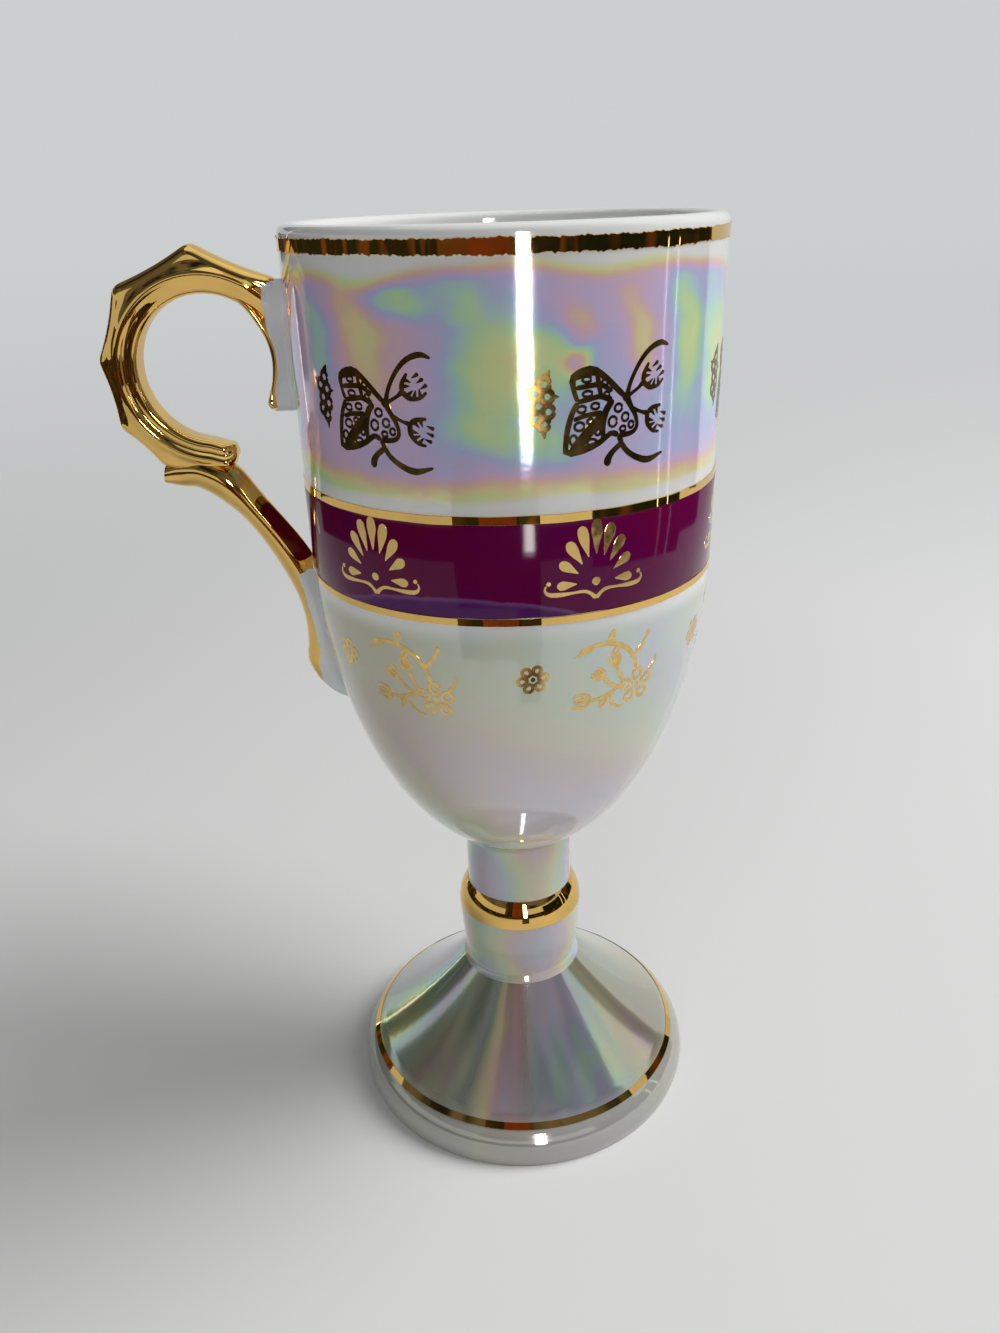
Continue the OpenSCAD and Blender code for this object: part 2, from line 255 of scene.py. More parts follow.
def turned(profile, steps):
    """Profile of (radius, height) rows carried once round the axis. The profile runs up the outside."""
    p = np.asarray(profile, float)
    a = np.linspace(0, 2 * np.pi, steps + 1)[:, None]
    grid = np.stack([p[:, 0] * np.sin(a), -p[:, 0] * np.cos(a), np.broadcast_to(p[:, 1], (steps + 1, len(p)))], -1)
    grid[-1] = grid[0]
    return grid


def direction(points):
    """Direction of each point round the axis, in radians from -Y towards +X."""
    return np.arctan2(points[..., 0], -points[..., 1])


def closed(profile):
    """Profile that ends where it begins."""
    p = np.asarray(profile, float)
    return np.vstack([p, p[:1]])


def volume(points, faces):
    """Signed volume inside a closed grid: the sum over its faces of a corner with the diagonals' product."""
    q = points[faces]
    return np.einsum("ij,ij->i", q[:, 0], np.cross(q[:, 2] - q[:, 0], q[:, 3] - q[:, 1])).sum()


def woven(grid):
    """Vertices and four-cornered faces of a grid of points."""
    nu, nv = grid.shape[:2]
    i, j = np.meshgrid(np.arange(nu - 1), np.arange(nv - 1), indexing="ij")
    a = (i * nv + j).ravel()
    return grid.reshape(-1, 3), np.stack([a, a + nv, a + nv + 1, a + 1], axis=1)


def build(name, parts, material, slot, nodes=(), solid=True, crease=40):
    """Joins grids into one welded mesh in metres. Each part is a grid with its attributes by name.

    A closed grid whose volume comes out negative is turned round, so that faces point outwards."""
    points, faces, extra, start = [], [], {}, 0
    for grid, attributes in parts:
        p, f = woven(grid)
        if solid and volume(p - p.mean(0), f) < 0:
            f = f[:, ::-1]
        points.append(p)
        faces.append(f + start)
        start += len(p)
        for key, value in attributes.items():
            extra.setdefault(key, []).append(np.broadcast_to(value, grid.shape[:2]).ravel())
    points, faces = np.vstack(points), np.vstack(faces)
    _, first, where = np.unique(np.round(points, 5), axis=0, return_index=True, return_inverse=True)
    faces = where.ravel()[faces]
    same = faces == np.roll(faces, -1, axis=1)
    quads = faces[same.sum(1) == 0]
    thin = same.sum(1) == 1
    triangles = faces[thin][~same[thin]].reshape(-1, 3)
    mesh = bpy.data.meshes.new(name)
    mesh.from_pydata((points[first] / 1000).tolist(), [], quads.tolist() + triangles.tolist())
    for key, values in extra.items():
        mesh.attributes.new(key, "FLOAT", "POINT").data.foreach_set("value", np.concatenate(values)[first])
    mesh.polygons.foreach_set("use_smooth", np.ones(len(mesh.polygons), bool))
    mesh.set_sharp_from_angle(angle=math.radians(crease))
    mesh.materials.append(material)
    piece = bpy.data.objects.new(name, mesh)
    bpy.context.scene.collection.objects.link(piece)
    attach(piece, "root")
    if nodes:
        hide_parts(*nodes)


# Profiles of the turned pieces

def bowl_outside(b):
    """Outside of the bowl from the seat to the lip's rounding: an ellipse through seat and belly, then a cone."""
    belly_r, belly_z = b.lip_r - b.lean, b.lip_z - b.wall_h
    centre = belly_z + b.rise
    part = (b.seat_r / belly_r) ** 2
    k = (1 - part) / ((centre - b.seat_z) ** 2 - part * b.rise ** 2)
    tall, wide = 1 / math.sqrt(k), belly_r / math.sqrt(1 - k * b.rise ** 2)
    a = np.linspace(math.asin((centre - b.seat_z) / tall), math.asin(b.rise / tall), 72)
    low = np.stack([wide * np.cos(a), centre - tall * np.sin(a)], -1)
    z = np.linspace(belly_z, b.lip_z - b.wall_t / 2, 92)[1:]
    r = belly_r + b.lean * (z - belly_z) / (b.wall_h - b.wall_t / 2)
    return np.vstack([low, np.stack([r, z], -1)])


def bowl_wall(b):
    """Functions of the height that give the bowl's outer radius and its outward normal in the section."""
    p = bowl_outside(b)
    d = np.gradient(p, axis=0)
    n = np.stack([d[:, 1], -d[:, 0]], -1) / np.linalg.norm(d, axis=1)[:, None]
    return (lambda z: np.interp(z, p[:, 1], p[:, 0]),
            lambda z: (np.interp(z, p[:, 1], n[:, 0]), np.interp(z, p[:, 1], n[:, 1])))


def bowl_inside(b):
    """Inside of the bowl from the lip down to the middle of the floor: a cone, then a quarter ellipse."""
    belly_z = b.lip_z - b.wall_h
    z = np.linspace(b.lip_z - b.wall_t / 2, belly_z, 30)[1:-1]
    top, low = b.lip_r - b.wall_t, b.lip_r - b.lean - b.wall_t
    wall = np.stack([low + (top - low) * (z - belly_z) / (b.wall_h - b.wall_t / 2), z], -1)
    a = np.linspace(0, np.pi / 2, 50)
    return np.vstack([wall, np.stack([low * np.cos(a), belly_z - (belly_z - b.seat_z - b.floor_t) * np.sin(a)], -1)])


def stem_outside(s):
    """Outside of the stem: an arc out to the knop, an arc back over the slope and the straight neck."""
    knop_z = s.low_z + s.knop_up
    r0, r1 = bulge(s.knop_r - s.collar_r, s.knop_up), bulge(s.knop_r - s.neck_r, s.slope_h)
    low = arc((s.knop_r - r0, knop_z), r0, -math.degrees(math.asin(s.knop_up / r0)), 0, 24)
    slope = arc((s.knop_r - r1, knop_z), r1, 0, math.degrees(math.asin(s.slope_h / r1)), 20)
    neck = np.stack([np.full(12, s.neck_r), np.linspace(knop_z + s.slope_h, s.top_z, 12)], -1)
    return low, slope, neck


def foot_outside(f, s):
    """Outside of the foot: the rounded edge, the land tangent to it, and the hollow flare up to the stem.

    It also gives the directions out of the land and up along it, and the land's lower end."""
    edge = np.array([f.foot_r - f.edge_r, f.edge_z])
    top = np.array([s.collar_r + f.ledge_w, f.top_z])
    reach = top - edge
    a = math.atan2(reach[1], reach[0]) - math.acos(f.edge_r / np.linalg.norm(reach))
    out, up = np.array([math.cos(a), math.sin(a)]), np.array([-math.sin(a), math.cos(a)])
    start = edge + f.edge_r * out
    end = start + f.land_w * up
    flare = hollow_line(end, top, f.sag, 40)
    rounded = arc(edge, f.edge_r, -math.degrees(math.asin(f.edge_z / f.edge_r)), math.degrees(a), 36)
    return np.vstack([rounded, flare]), out, up, start


# Shader maths

class Value:
    """A shader socket on which arithmetic adds Math nodes."""

    def __init__(self, look, socket):
        self.look, self.socket = look, socket

    def math(self, operation, *values):
        """Result of a Math node on values or numbers."""
        return self.look.node("ShaderNodeMath", {i: v for i, v in enumerate(values)}, operation=operation)

    def __add__(self, other):
        return self.math("ADD", self, other)

    def __sub__(self, other):
        return self.math("SUBTRACT", self, other)

    def __rsub__(self, other):
        return self.math("SUBTRACT", other, self)

    def __mul__(self, other):
        return self.math("MULTIPLY", self, other)

    def __truediv__(self, other):
        return self.math("DIVIDE", self, other)

    def __rtruediv__(self, other):
        return self.math("DIVIDE", other, self)

    __radd__, __rmul__ = __add__, __mul__

    def cycle(self):
        """The part after the decimal point."""
        return self.math("FRACT", self)

    def step(self, low, high):
        """0 below low, 1 above high and an S-curve between them."""
        return self.look.node("ShaderNodeMapRange", {"Value": self, "From Min": low, "From Max": high},
                              interpolation_type="SMOOTHSTEP")


class Look:
    """A material under construction."""

    def __init__(self, owner):
        owner.use_nodes = True
        self.tree = owner.node_tree
        self.tree.nodes.clear()

    def node(self, kind, sockets=None, out=0, stops=None, **settings):
        """Adds a node: its settings first, then the values or links of its sockets, by name or number."""
        node = self.tree.nodes.new(kind)
        for key, value in settings.items():
            setattr(node, key, value)
        if stops:
            ramp = node.color_ramp
            while len(ramp.elements) < len(stops):
                ramp.elements.new(0.5)
            for element, (place, rgb) in zip(ramp.elements, stops):
                element.position, element.color = place, (*rgb, 1)
        for key, value in (sockets or {}).items():
            if isinstance(value, Value):
                self.tree.links.new(value.socket, node.inputs[key])
            else:
                node.inputs[key].default_value = value
        return Value(self, node.outputs[out]) if node.outputs else None

    def place(self):
        """Object coordinates."""
        return self.node("ShaderNodeTexCoord", out="Object")

    def axis(self, name):
        """One of the object coordinates, by its letter."""
        return self.node("ShaderNodeSeparateXYZ", {0: self.place()}, out=name)

    def attribute(self, name):
        """A vertex attribute of the piece."""
        return self.node("ShaderNodeAttribute", out="Fac", attribute_name=name)

    def noise(self, scale, detail=2.0, swirl=0.0):
        """Cloudy noise between 0 and 1 whose features are about 1/scale metres apart."""
        return self.node("ShaderNodeTexNoise", {"Vector": self.place(), "Scale": scale, "Detail": detail,
                                                "Distortion": swirl})

    def blend(self, share, first, second):
        """Mix of two colours."""
        return self.node("ShaderNodeMix", {"Factor": share, 6: first, 7: second}, out=2, data_type="RGBA")

    def relief(self, height, distance, strength=1.0):
        """Normal of a surface raised by height times distance."""
        return self.node("ShaderNodeBump", {"Height": height, "Distance": distance, "Strength": strength})

    def surface(self, **sockets):
        """Principled surface on the material's output. Names use _ for spaces."""
        shader = self.node("ShaderNodeBsdfPrincipled", {k.replace("_", " "): v for k, v in sockets.items()})
        self.node("ShaderNodeOutputMaterial", {"Surface": shader})


def rgba(colour):
    """Colour with full alpha."""
    return (*colour, 1.0)


def darker(colour, share):
    """Colour with a share of its light and full alpha."""
    return rgba([c * share for c in colour])


def material(name, paint):
    """Material by name, made by its painter on first use."""
    made = bpy.data.materials.get("cup_" + name)
    if made is None:
        made = bpy.data.materials.new("cup_" + name)
        paint(Look(made), bpy.context.scene.cup.finish)
    return made


# Colours of the lustre as the film grows thicker, over one order
PEARL_STOPS = [
    (0.00, (0.78, 0.60, 0.87)), (0.09, (0.69, 0.60, 0.92)), (0.18, (0.56, 0.65, 0.94)), (0.29, (0.56, 0.83, 0.79)),
    (0.40, (0.64, 0.93, 0.54)), (0.52, (0.82, 0.95, 0.46)), (0.64, (0.94, 0.84, 0.45)), (0.76, (0.94, 0.68, 0.49)),
    (0.88, (0.88, 0.59, 0.70)), (1.00, (0.78, 0.60, 0.87)),
]


def paint_pearl(look, finish):
    """Glazed porcelain under a lustre film: the film's order picks a pastel, and its cover fades it to the glaze."""
    cloud = look.noise(95, 4, 0.8)
    ragged = look.noise(230, 3, 1.0)
    fine = look.noise(420, 2)
    mirror = look.attribute("mirror")
    order = look.attribute("film") + (cloud - 0.5) * 0.42 + (ragged - 0.5) * 0.2
    pastel = look.node("ShaderNodeValToRGB", {"Fac": order.cycle()}, stops=PEARL_STOPS)
    cover = look.attribute("pearl") * (0.78 + 0.4 * look.noise(60, 2))
    # Under the film the glaze blends from the dark ivory to white by the white attribute; the ivory's darkness and
    # the attribute's darker left side are partly painted shade
    glaze = look.blend(look.attribute("white"), rgba(finish.ivory_with_painted_shade), rgba(finish.porcelain))
    base = look.blend(cover.step(0, 1), glaze, pastel)
    wave = look.relief(look.noise(70, 1) + 0.08 * look.noise(1500, 1), 0.00012, 0.5)
    look.surface(Base_Color=base, Metallic=mirror, Roughness=finish.gloss + 0.03 * fine + 0.06 * mirror, IOR=1.6,
                 Normal=wave, Coat_Weight=0.5, Coat_Roughness=0.02)


def paint_glaze(look, finish):
    """Plain white glaze with a faint ripple."""
    wave = look.relief(look.noise(90, 1), 0.0001, 0.4)
    tint = look.blend(look.noise(50, 2), rgba(finish.porcelain), (0.80, 0.80, 0.78, 1))
    look.surface(Base_Color=tint, Roughness=finish.gloss, IOR=1.55, Normal=wave, Coat_Weight=0.5,
                 Coat_Roughness=0.02)


def gold_parts(look, rgb):
    """Colour, roughness and relief of burnished gold: brush marks, thin patches and a faint ripple."""
    cloud = look.noise(160, 3)
    tint = look.blend(cloud.step(0.35, 0.7), darker(rgb, 0.86), rgba(rgb))
    rough = 0.025 + 0.03 * look.noise(900, 2).step(0.45, 0.8)
    return tint, rough, look.relief(look.noise(260, 2), 0.00006, 0.22)


def paint_gold(look, finish):
    """Burnished gold on the bands."""
    tint, rough, wave = gold_parts(look, finish.gold)
    look.surface(Base_Color=tint, Metallic=1.0, Roughness=rough, Normal=wave)


def paint_handle(look, finish):
    """Burnished gold that ends in a brushed edge on the pads, whose white glaze has a faint blue lustre."""
    tint, rough, wave = gold_parts(look, finish.gold)
    bare = look.blend(look.noise(75, 2).step(0.34, 0.66), (0.68, 0.72, 0.79, 1), rgba(finish.porcelain))
    edge = look.attribute("gilt") + (look.noise(1500, 2) - 0.5) * 0.3
    gold = edge.step(-0.04, 0.04)
    look.surface(Base_Color=look.blend(gold, bare, tint), Metallic=gold, Roughness=rough, Normal=wave)


def thin_gilt(look, rgb, scale, share, metal):
    """Thin gilding with patches that are rougher and keep their full colour, in the rest a share of it."""
    patch = look.noise(scale, 2).step(0.3, 0.75)
    tint = look.blend(patch, darker(rgb, share), rgba(rgb))
    look.surface(Base_Color=tint, Metallic=metal, Roughness=0.12 + 0.1 * patch)


def paint_dark_gilt(look, finish):
    """Dark gilding of the upper sprigs, darker in part as painted reflection of the dark room."""
    thin_gilt(look, finish.dark_gold, 700, 0.6, 0.9)


def paint_pale_gilt(look, finish):
    """Bright gilding of the lower sprays and palmettes."""
    thin_gilt(look, finish.pale_gold, 1100, 0.8, 0.95)


# Violet smear on the enamel: distance of its middle to the left, half its width and its height, in metres
SMEAR_X, SMEAR_HALF_W, SMEAR_H = 0.006, 0.0135, 0.0024


def paint_burgundy(look, finish):
    """Glossy burgundy enamel, slightly cloudy, with a smear of violet lustre along its lower edge in front."""
    cloud = look.noise(110, 3)
    enamel = look.blend(cloud.step(0.3, 0.7), rgba(finish.burgundy), (0.11, 0.0012, 0.06, 1))
    low = bottom_of("burgundy_band") / 1000
    x, y, z = (look.axis(name) for name in "XYZ")
    off = (x + SMEAR_X) / SMEAR_HALF_W
    depth = low + SMEAR_H * (1 - off * off) + 0.0014 * (look.noise(170, 3, 0.6) - 0.5) - z
    front = (0 - y).step(0.006, 0.012)
    film = look.blend(depth.step(0.0003, 0.0008), (0.19, 0.09, 0.26, 1), (0.07, 0.02, 0.15, 1))
    tint = look.blend(0.62 * depth.step(0, 0.0003) * front, enamel, film)
    wave = look.relief(look.noise(80, 1), 0.0001, 0.4)
    look.surface(Base_Color=tint, Roughness=0.07, IOR=1.5, Specular_IOR_Level=0.17, Normal=wave)


# Gilt motifs

# Directions of the motifs in degrees
MOTIF_TURNS = np.array([-36.6, 21.1, 79, 137, 195])
# Heights of the upper sprigs, of the lower sprays, and of the palmettes above the enamel's lower edge
SPRIG_Z, SPRAY_Z, PALMETTE_UP = 99.2, 69.6, 3.4


def ribbons(strokes, relief, bold):
    """Strokes of (x, y, half width) points as flat ribbons with steep edges, one grid of (x, y, height) each.

    Half widths are multiplied by bold. They shrink as a circle does over the last half width at each end."""
    across = np.array([-1, -0.9, 0, 0.9, 1])
    dome = relief * np.array([-0.5, 0.95, 1, 0.95, -0.5])
    made = []
    for points in strokes:
        c = curve(points, 22, ends=True)
        d = np.gradient(c[:, :2], axis=0)
        d /= np.linalg.norm(d, axis=1)[:, None] + 1e-9
        s = np.concatenate([[0], np.cumsum(np.linalg.norm(np.diff(c[:, :2], axis=0), axis=1))])
        w = np.maximum(bold * c[:, 2], 0.02)
        near = np.clip(np.minimum(s, s[-1] - s) / w, 0, 1)
        w = w * np.sqrt(1 - (1 - near) ** 2)
        side = np.stack([-d[:, 1], d[:, 0]], -1)
        xy = c[:, None, :2] + (w[:, None] * across)[..., None] * side[:, None]
        made.append(np.concatenate([xy, np.broadcast_to(dome, xy.shape[:2])[..., None]], -1))
    return made


def dot(x, y, r):
    """Round dot as a stroke as long as it is wide."""
    return [(x - r, y, r), (x, y, r), (x + r, y, r)]


def hoop(x, y, r, w, tall):
    """Oval line as a stroke round its centre."""
    a = np.linspace(0, 2 * np.pi, 11)
    return np.stack([x + r * np.cos(a), y + tall * r * np.sin(a), np.full(11, w)], -1)


def mirrored(stroke):
    """The same stroke on the other side of the motif's middle."""
    return [(-x, y, w) for x, y, w in stroke]


def placed(rows, x, y, turn, size=1.0):
    """Stroke enlarged, turned by an angle in degrees and moved to (x, y). Half widths stay as they are."""
    c, s = size * math.cos(math.radians(turn)), size * math.sin(math.radians(turn))
    return [(x + c * u - s * v, y + s * u + c * v, w) for u, v, w in rows]


def blossom(x, y, r, petals, w, turn):
    """Flower of teardrop outlines round a dot."""
    row = [(0.3, 0, w), (0.62, 0.25, w), (0.9, 0.22, w), (1, 0, w), (0.9, -0.22, w), (0.62, -0.25, w), (0.3, 0, w)]
    return [dot(x, y, 0.15 * r)] + [placed(row, x, y, turn + 360 * k / petals, r) for k in range(petals)]


def bud(x, y, r, w, turn):
    """Bud of two curved outlines that open into three points, with a line up its middle."""
    side = [(0, 0, w), (0.3, 0.36, w), (0.75, 0.4, w), (1.1, 0.28, 0.5 * w)]
    inner = [(0.25, 0.05, w), (0.65, 0.12, w), (1.0, 0, 0.5 * w)]
    return [placed(row, x, y, turn, r) for row in (side, inner, [(u, -v, k) for u, v, k in side],
                                                   [(u, -v, k) for u, v, k in inner])]


def palmette():
    """Fan of teardrop petals over a dot, above a bracket with a pointed dip and curled ends."""
    strokes = [dot(0, 0, 0.46)]
    for a in np.radians([90, 66, 43, 21, -1]):
        inner = np.array([2.1 * math.cos(a), 2.9 * math.sin(a)])
        outer = np.array([4.2 * math.cos(a), 6.5 * math.sin(a)])
        fat = 0.5 + 0.12 * math.sin(a)
        rows = [(0, 0.05), (0.3, 0.55 * fat), (0.62, fat), (0.85, 0.97 * fat), (1, 0.75 * fat)]
        petal = [(*(inner + t * (outer - inner)), w) for t, w in rows]
        strokes += [petal] if math.cos(a) < 0.01 else [petal, mirrored(petal)]
    half = [(0, -1.85, 0.3), (0.55, -1.3, 0.2), (1.3, -0.95, 0.19), (2.5, -0.98, 0.15), (3.9, -1.05, 0.26),
            (5.0, -0.95, 0.24), (5.45, -0.45, 0.13), (5.3, 0.0, 0.1)]
    curl = dot(5.05, 0.2, 0.25)
    return strokes + [half, mirrored(half), curl, mirrored(curl)]


def sprig():
    """Netted two-lobed wing, two fringed petals opening from it, an arching stem and a hooked stem."""
    strokes = [
        [(-0.3, 0.15, 0.25), (-1.4, 1.15, 0.28), (-2.5, 2.15, 0.28), (-3.7, 2.75, 0.42), (-4.9, 2.55, 0.44),
         (-5.7, 2.1, 0.32), (-5.55, 0.95, 0.22), (-5.2, 0.0, 0.22)],
        [(-5.2, -0.06, 0.22), (-4.0, 0.15, 0.24), (-2.9, 0.3, 0.24), (-1.6, -0.13, 0.3)],
        [(-5.2, -0.06, 0.22), (-5.75, -1.1, 0.26), (-6.15, -2.4, 0.27), (-6.35, -3.9, 0.25), (-6.2, -4.8, 0.32),
         (-4.5, -4.6, 0.34), (-2.9, -4.05, 0.28), (-1.7, -3.3, 0.26), (-0.85, -3.55, 0.28)],
        [(0.0, 0.0, 0.36), (0.55, -1.0, 0.26), (1.1, -1.9, 0.23), (1.3, -2.9, 0.2), (0.7, -3.5, 0.23),
         (-0.85, -3.6, 0.28)],
        [(-1.5, -0.1, 0.3), (-2.25, -1.1, 0.34), (-2.55, -2.4, 0.28), (-2.5, -3.9, 0.22)],
        [(-2.5, -1.3, 0.3), (-3.2, -2.2, 0.55), (-4.2, -3.1, 0.5), (-5.2, -4.2, 0.5), (-5.9, -4.6, 0.3)],
        [(-5.6, -1.7, 0.2), (-4.3, -1.35, 0.22), (-2.6, -1.25, 0.26)],
        [(-1.6, 0.7, 0.2), (-3.0, 1.4, 0.24), (-5.4, 1.25, 0.22)],
        [(-3.3, 2.6, 0.2), (-3.05, 1.4, 0.24), (-2.8, 0.3, 0.2)],
        [(-0.5, 0.2, 0.3), (0.0, 0.0, 0.44), (0.35, -0.35, 0.26)],
        [(0.05, 0.1, 0.26), (0.45, 1.4, 0.21), (1.4, 3.0, 0.22), (2.6, 4.15, 0.25), (4.0, 4.65, 0.26),
         (5.1, 4.35, 0.12)],
        [(-0.85, -3.6, 0.27), (-0.55, -4.35, 0.27), (-1.45, -5.1, 0.28), (-1.95, -5.8, 0.36), (-1.95, -6.45, 0.38)],
        [(-0.55, -4.3, 0.27), (0.2, -5.25, 0.26), (1.45, -6.05, 0.29), (2.9, -6.45, 0.31), (4.8, -6.0, 0.12)],
    ]
    strokes += [hoop(x, y, r, 0.13, tall) for x, y, r, tall in (
        (-4.3, 2.0, 0.45, 0.6), (-2.45, 1.55, 0.3, 1.0), (-4.2, 0.65, 0.5, 0.55), (-2.2, 0.45, 0.28, 0.9),
        (-4.8, -0.75, 0.45, 0.7), (-3.4, -0.55, 0.42, 0.7), (-5.0, -2.35, 0.5, 0.8), (-5.6, -3.6, 0.36, 1.3),
        (-3.9, -1.95, 0.32, 0.8), (-3.7, -3.95, 0.5, 0.6), (-3.1, -3.0, 0.28, 1.2), (-0.9, -0.95, 0.42, 0.9),
        (-1.5, -2.2, 0.45, 1.1), (-0.1, -1.9, 0.4, 1.0), (-0.35, -3.0, 0.33, 0.8), (0.6, -2.7, 0.3, 1.1))]
    for root in ((0.15, 0.05, 24), (0.6, -1.1, -28.6)):
        fringe = [[(0, 0, 0.2), (1.3, 0.1, 0.16), (2.1, 0.3, 0.28)],
                  [(2.1, 0.3, 0.28), (2.5, 1.0, 0.23), (3.4, 1.65, 0.14)],
                  [(2.1, 0.3, 0.28), (2.6, -0.55, 0.24), (3.6, -0.95, 0.16), (4.5, -0.7, 0.14)]]
        fringe += [placed([(0, 0, 0.24), (0.42, 0, 0.15), (0.85, 0, 0.04)], x, y, a) for x, y, a in (
            (2.35, 0.75, -20), (2.8, 1.3, -45), (2.45, -0.25, 15), (3.0, -0.75, 50), (3.7, -0.95, 75))]
        fringe += [[(x, y, 0.22), (x - 0.35, y - 0.05, 0.15), (x - 0.85, y - 0.1, 0.04)]
                   for x, y in ((4.5, 1.15), (4.75, 0.55), (4.85, -0.1))]
        strokes += [placed(row, *root) for row in fringe]
    return strokes


def seed_leaf():
    """Pointed leaf beside the sprig, made of oval cells with four short tips."""
    cells = [(-8.45, 1.8), (-9.3, 1.0), (-8.15, 0.65), (-9.0, -0.2), (-8.05, -0.75), (-9.2, -1.35), (-8.5, -1.9)]
    tips = [[(-8.5, 2.2, 0.45), (-8.15, 2.65, 0.3), (-7.9, 3.1, 0.06)],
            [(-8.55, -2.3, 0.4), (-8.45, -2.75, 0.22), (-8.45, -3.3, 0.05)],
            [(-7.75, 0.6, 0.35), (-7.4, 0.6, 0.2), (-7.0, 0.6, 0.04)],
            [(-9.75, 1.3, 0.3), (-10.0, 1.45, 0.16), (-10.3, 1.65, 0.03)]]
    return [hoop(x, y, 0.54, 0.24, 1.05) for x, y in cells] + tips


def spray():
    """Loose spray: a five-petalled flower, a stem with three buds, an arching stem with leaves and a tendril."""
    leaf = [(0, 0, 0.12), (0.4, 0.3, 0.13), (1.0, 0.28, 0.13), (1.5, 0, 0.1), (1.0, -0.2, 0.13), (0.4, -0.2, 0.13),
            (0, 0, 0.12)]
    strokes = [
        [(-5.0, 3.0, 0.1), (-3.4, 4.0, 0.18), (-1.2, 4.2, 0.2), (1.0, 3.3, 0.2), (2.3, 1.7, 0.19), (2.8, 0.1, 0.16)],
        [(2.2, 1.9, 0.17), (3.2, 2.8, 0.18), (3.9, 3.9, 0.13)], dot(4.05, 4.2, 0.3),
        [(1.4, -1.2, 0.16), (-0.2, -2.0, 0.18), (-1.6, -2.55, 0.18), (-2.7, -2.6, 0.15)],
        [(0.6, -1.6, 0.15), (-0.7, -0.8, 0.16), (-1.5, 0.1, 0.13)],
        [(1.3, -1.2, 0.15), (0.5, 0.2, 0.16), (0.1, 1.2, 0.13)],
        [(-0.4, -2.1, 0.13), (-0.2, -3.3, 0.14), (0.7, -4.2, 0.13), (1.6, -4.3, 0.1)],
        [(4.7, -0.7, 0.15), (5.6, 0.3, 0.14), (5.7, 1.2, 0.08)],
    ]
    strokes += blossom(3.1, -2.0, 2.1, 5, 0.15, 20)
    strokes += bud(-2.7, -2.6, 2.1, 0.15, 176) + bud(-1.5, 0.1, 1.5, 0.14, 140) + bud(0.1, 1.2, 1.4, 0.14, 108)
    strokes += [placed(leaf, x, y, a) for x, y, a in (
        (-3.0, 4.1, 200), (-1.0, 4.2, 70), (0.2, 3.8, 240), (-1.0, -2.4, 250))]
    return strokes


def on_wall(grids, sizes, height, turns, lift):
    """Motif grids laid on the bowl at a height and several directions: x becomes arc length, y height."""
    radius, normal = bowl_wall(sizes)
    flat = np.stack(grids)
    x, y, h = flat[..., 0], flat[..., 1], flat[..., 2] + lift
    slope = normal(height + y)[0]
    z = height + y * np.clip(slope, 0.5, 1)
    r, (nr, nz) = radius(z), normal(z)
    parts = []
    for turn in turns:
        a = math.radians(turn) + x / r
        grid = np.stack([(r + h * nr) * np.sin(a), -(r + h * nr) * np.cos(a), z + h * nz], -1)
        parts += [(one, {}) for one in grid]
    return parts


# Handle

# Knuckles of the ring: direction in degrees, reach beyond the common radius
KNUCKLES = np.array([(49, -0.5), (93, 0.36), (137, 0.26), (175, -0.36), (210, 0.06), (238, 0.1)])
# Directions in degrees where the ring starts, where it ends and where its end begins to close
RING_START, RING_END, CURL_START = 38.0, 281.5, 272.0
# Outer edge of the curl: distance from the hole's centre and direction in degrees
CURL_EDGE = polar(np.array([12.3, 11.7, 11.5]), np.array([252, 266, RING_END + 3]))
# Width of bead and groove up to the crest, rounding of the outer edge, middle of the section at start and end
CREST_W, EDGE_R, START_MIDDLE, CURL_MIDDLE = 2.45, 1.1, 10.0, 8.95
# Half thickness at which the section is drawn, and what the averaging takes off the knuckles' tips
DRAWN_HALF_T, TIP_EXTRA = 2.3, 0.22
# Edge of the ring's gold on the upper pad, and how much further it goes at the top
GOLD_X, GOLD_STEP = -26.55, 1.45


def round_hole(h, rho, y, degrees):
    """Grid of points at distances rho from the hole's centre, in directions given in degrees, and at y across."""
    a = np.radians(degrees)[:, None]
    return np.stack([rho * np.cos(a) - h.hole_x, y, h.hole_z + rho * np.sin(a)], -1)


def ring_edge(h, angles, soft):
    """Distance of the ring's outer edge from the hole's centre at each angle.

    Lines between the knuckles' tips, hollowed by a parabola, then averaged over soft degrees each way."""
    tips = polar(h.knuckle_r + TIP_EXTRA + KNUCKLES[:, 1], KNUCKLES[:, 0])
    rows = [polar(h.knuckle_r - 0.9, np.array([RING_START - 4]))]
    rows += [hollow_line(p, q, h.facet_sag, 80) for p, q in zip(tips[:-1], tips[1:])]
    line = np.vstack(rows + [CURL_EDGE])
    a = np.degrees(np.unwrap(np.arctan2(line[:, 1], line[:, 0])))
    fine = np.arange(RING_START - 3, RING_END + 3, 0.1)
    r = np.interp(fine, a, np.linalg.norm(line, axis=1))
    reach = round(soft * 10)
    kernel = np.exp(-np.linspace(-2.2, 2.2, 2 * reach + 1) ** 2)
    r = np.convolve(np.pad(r, reach, mode="edge"), kernel / kernel.sum(), mode="valid")
    return np.interp(angles, fine, r)


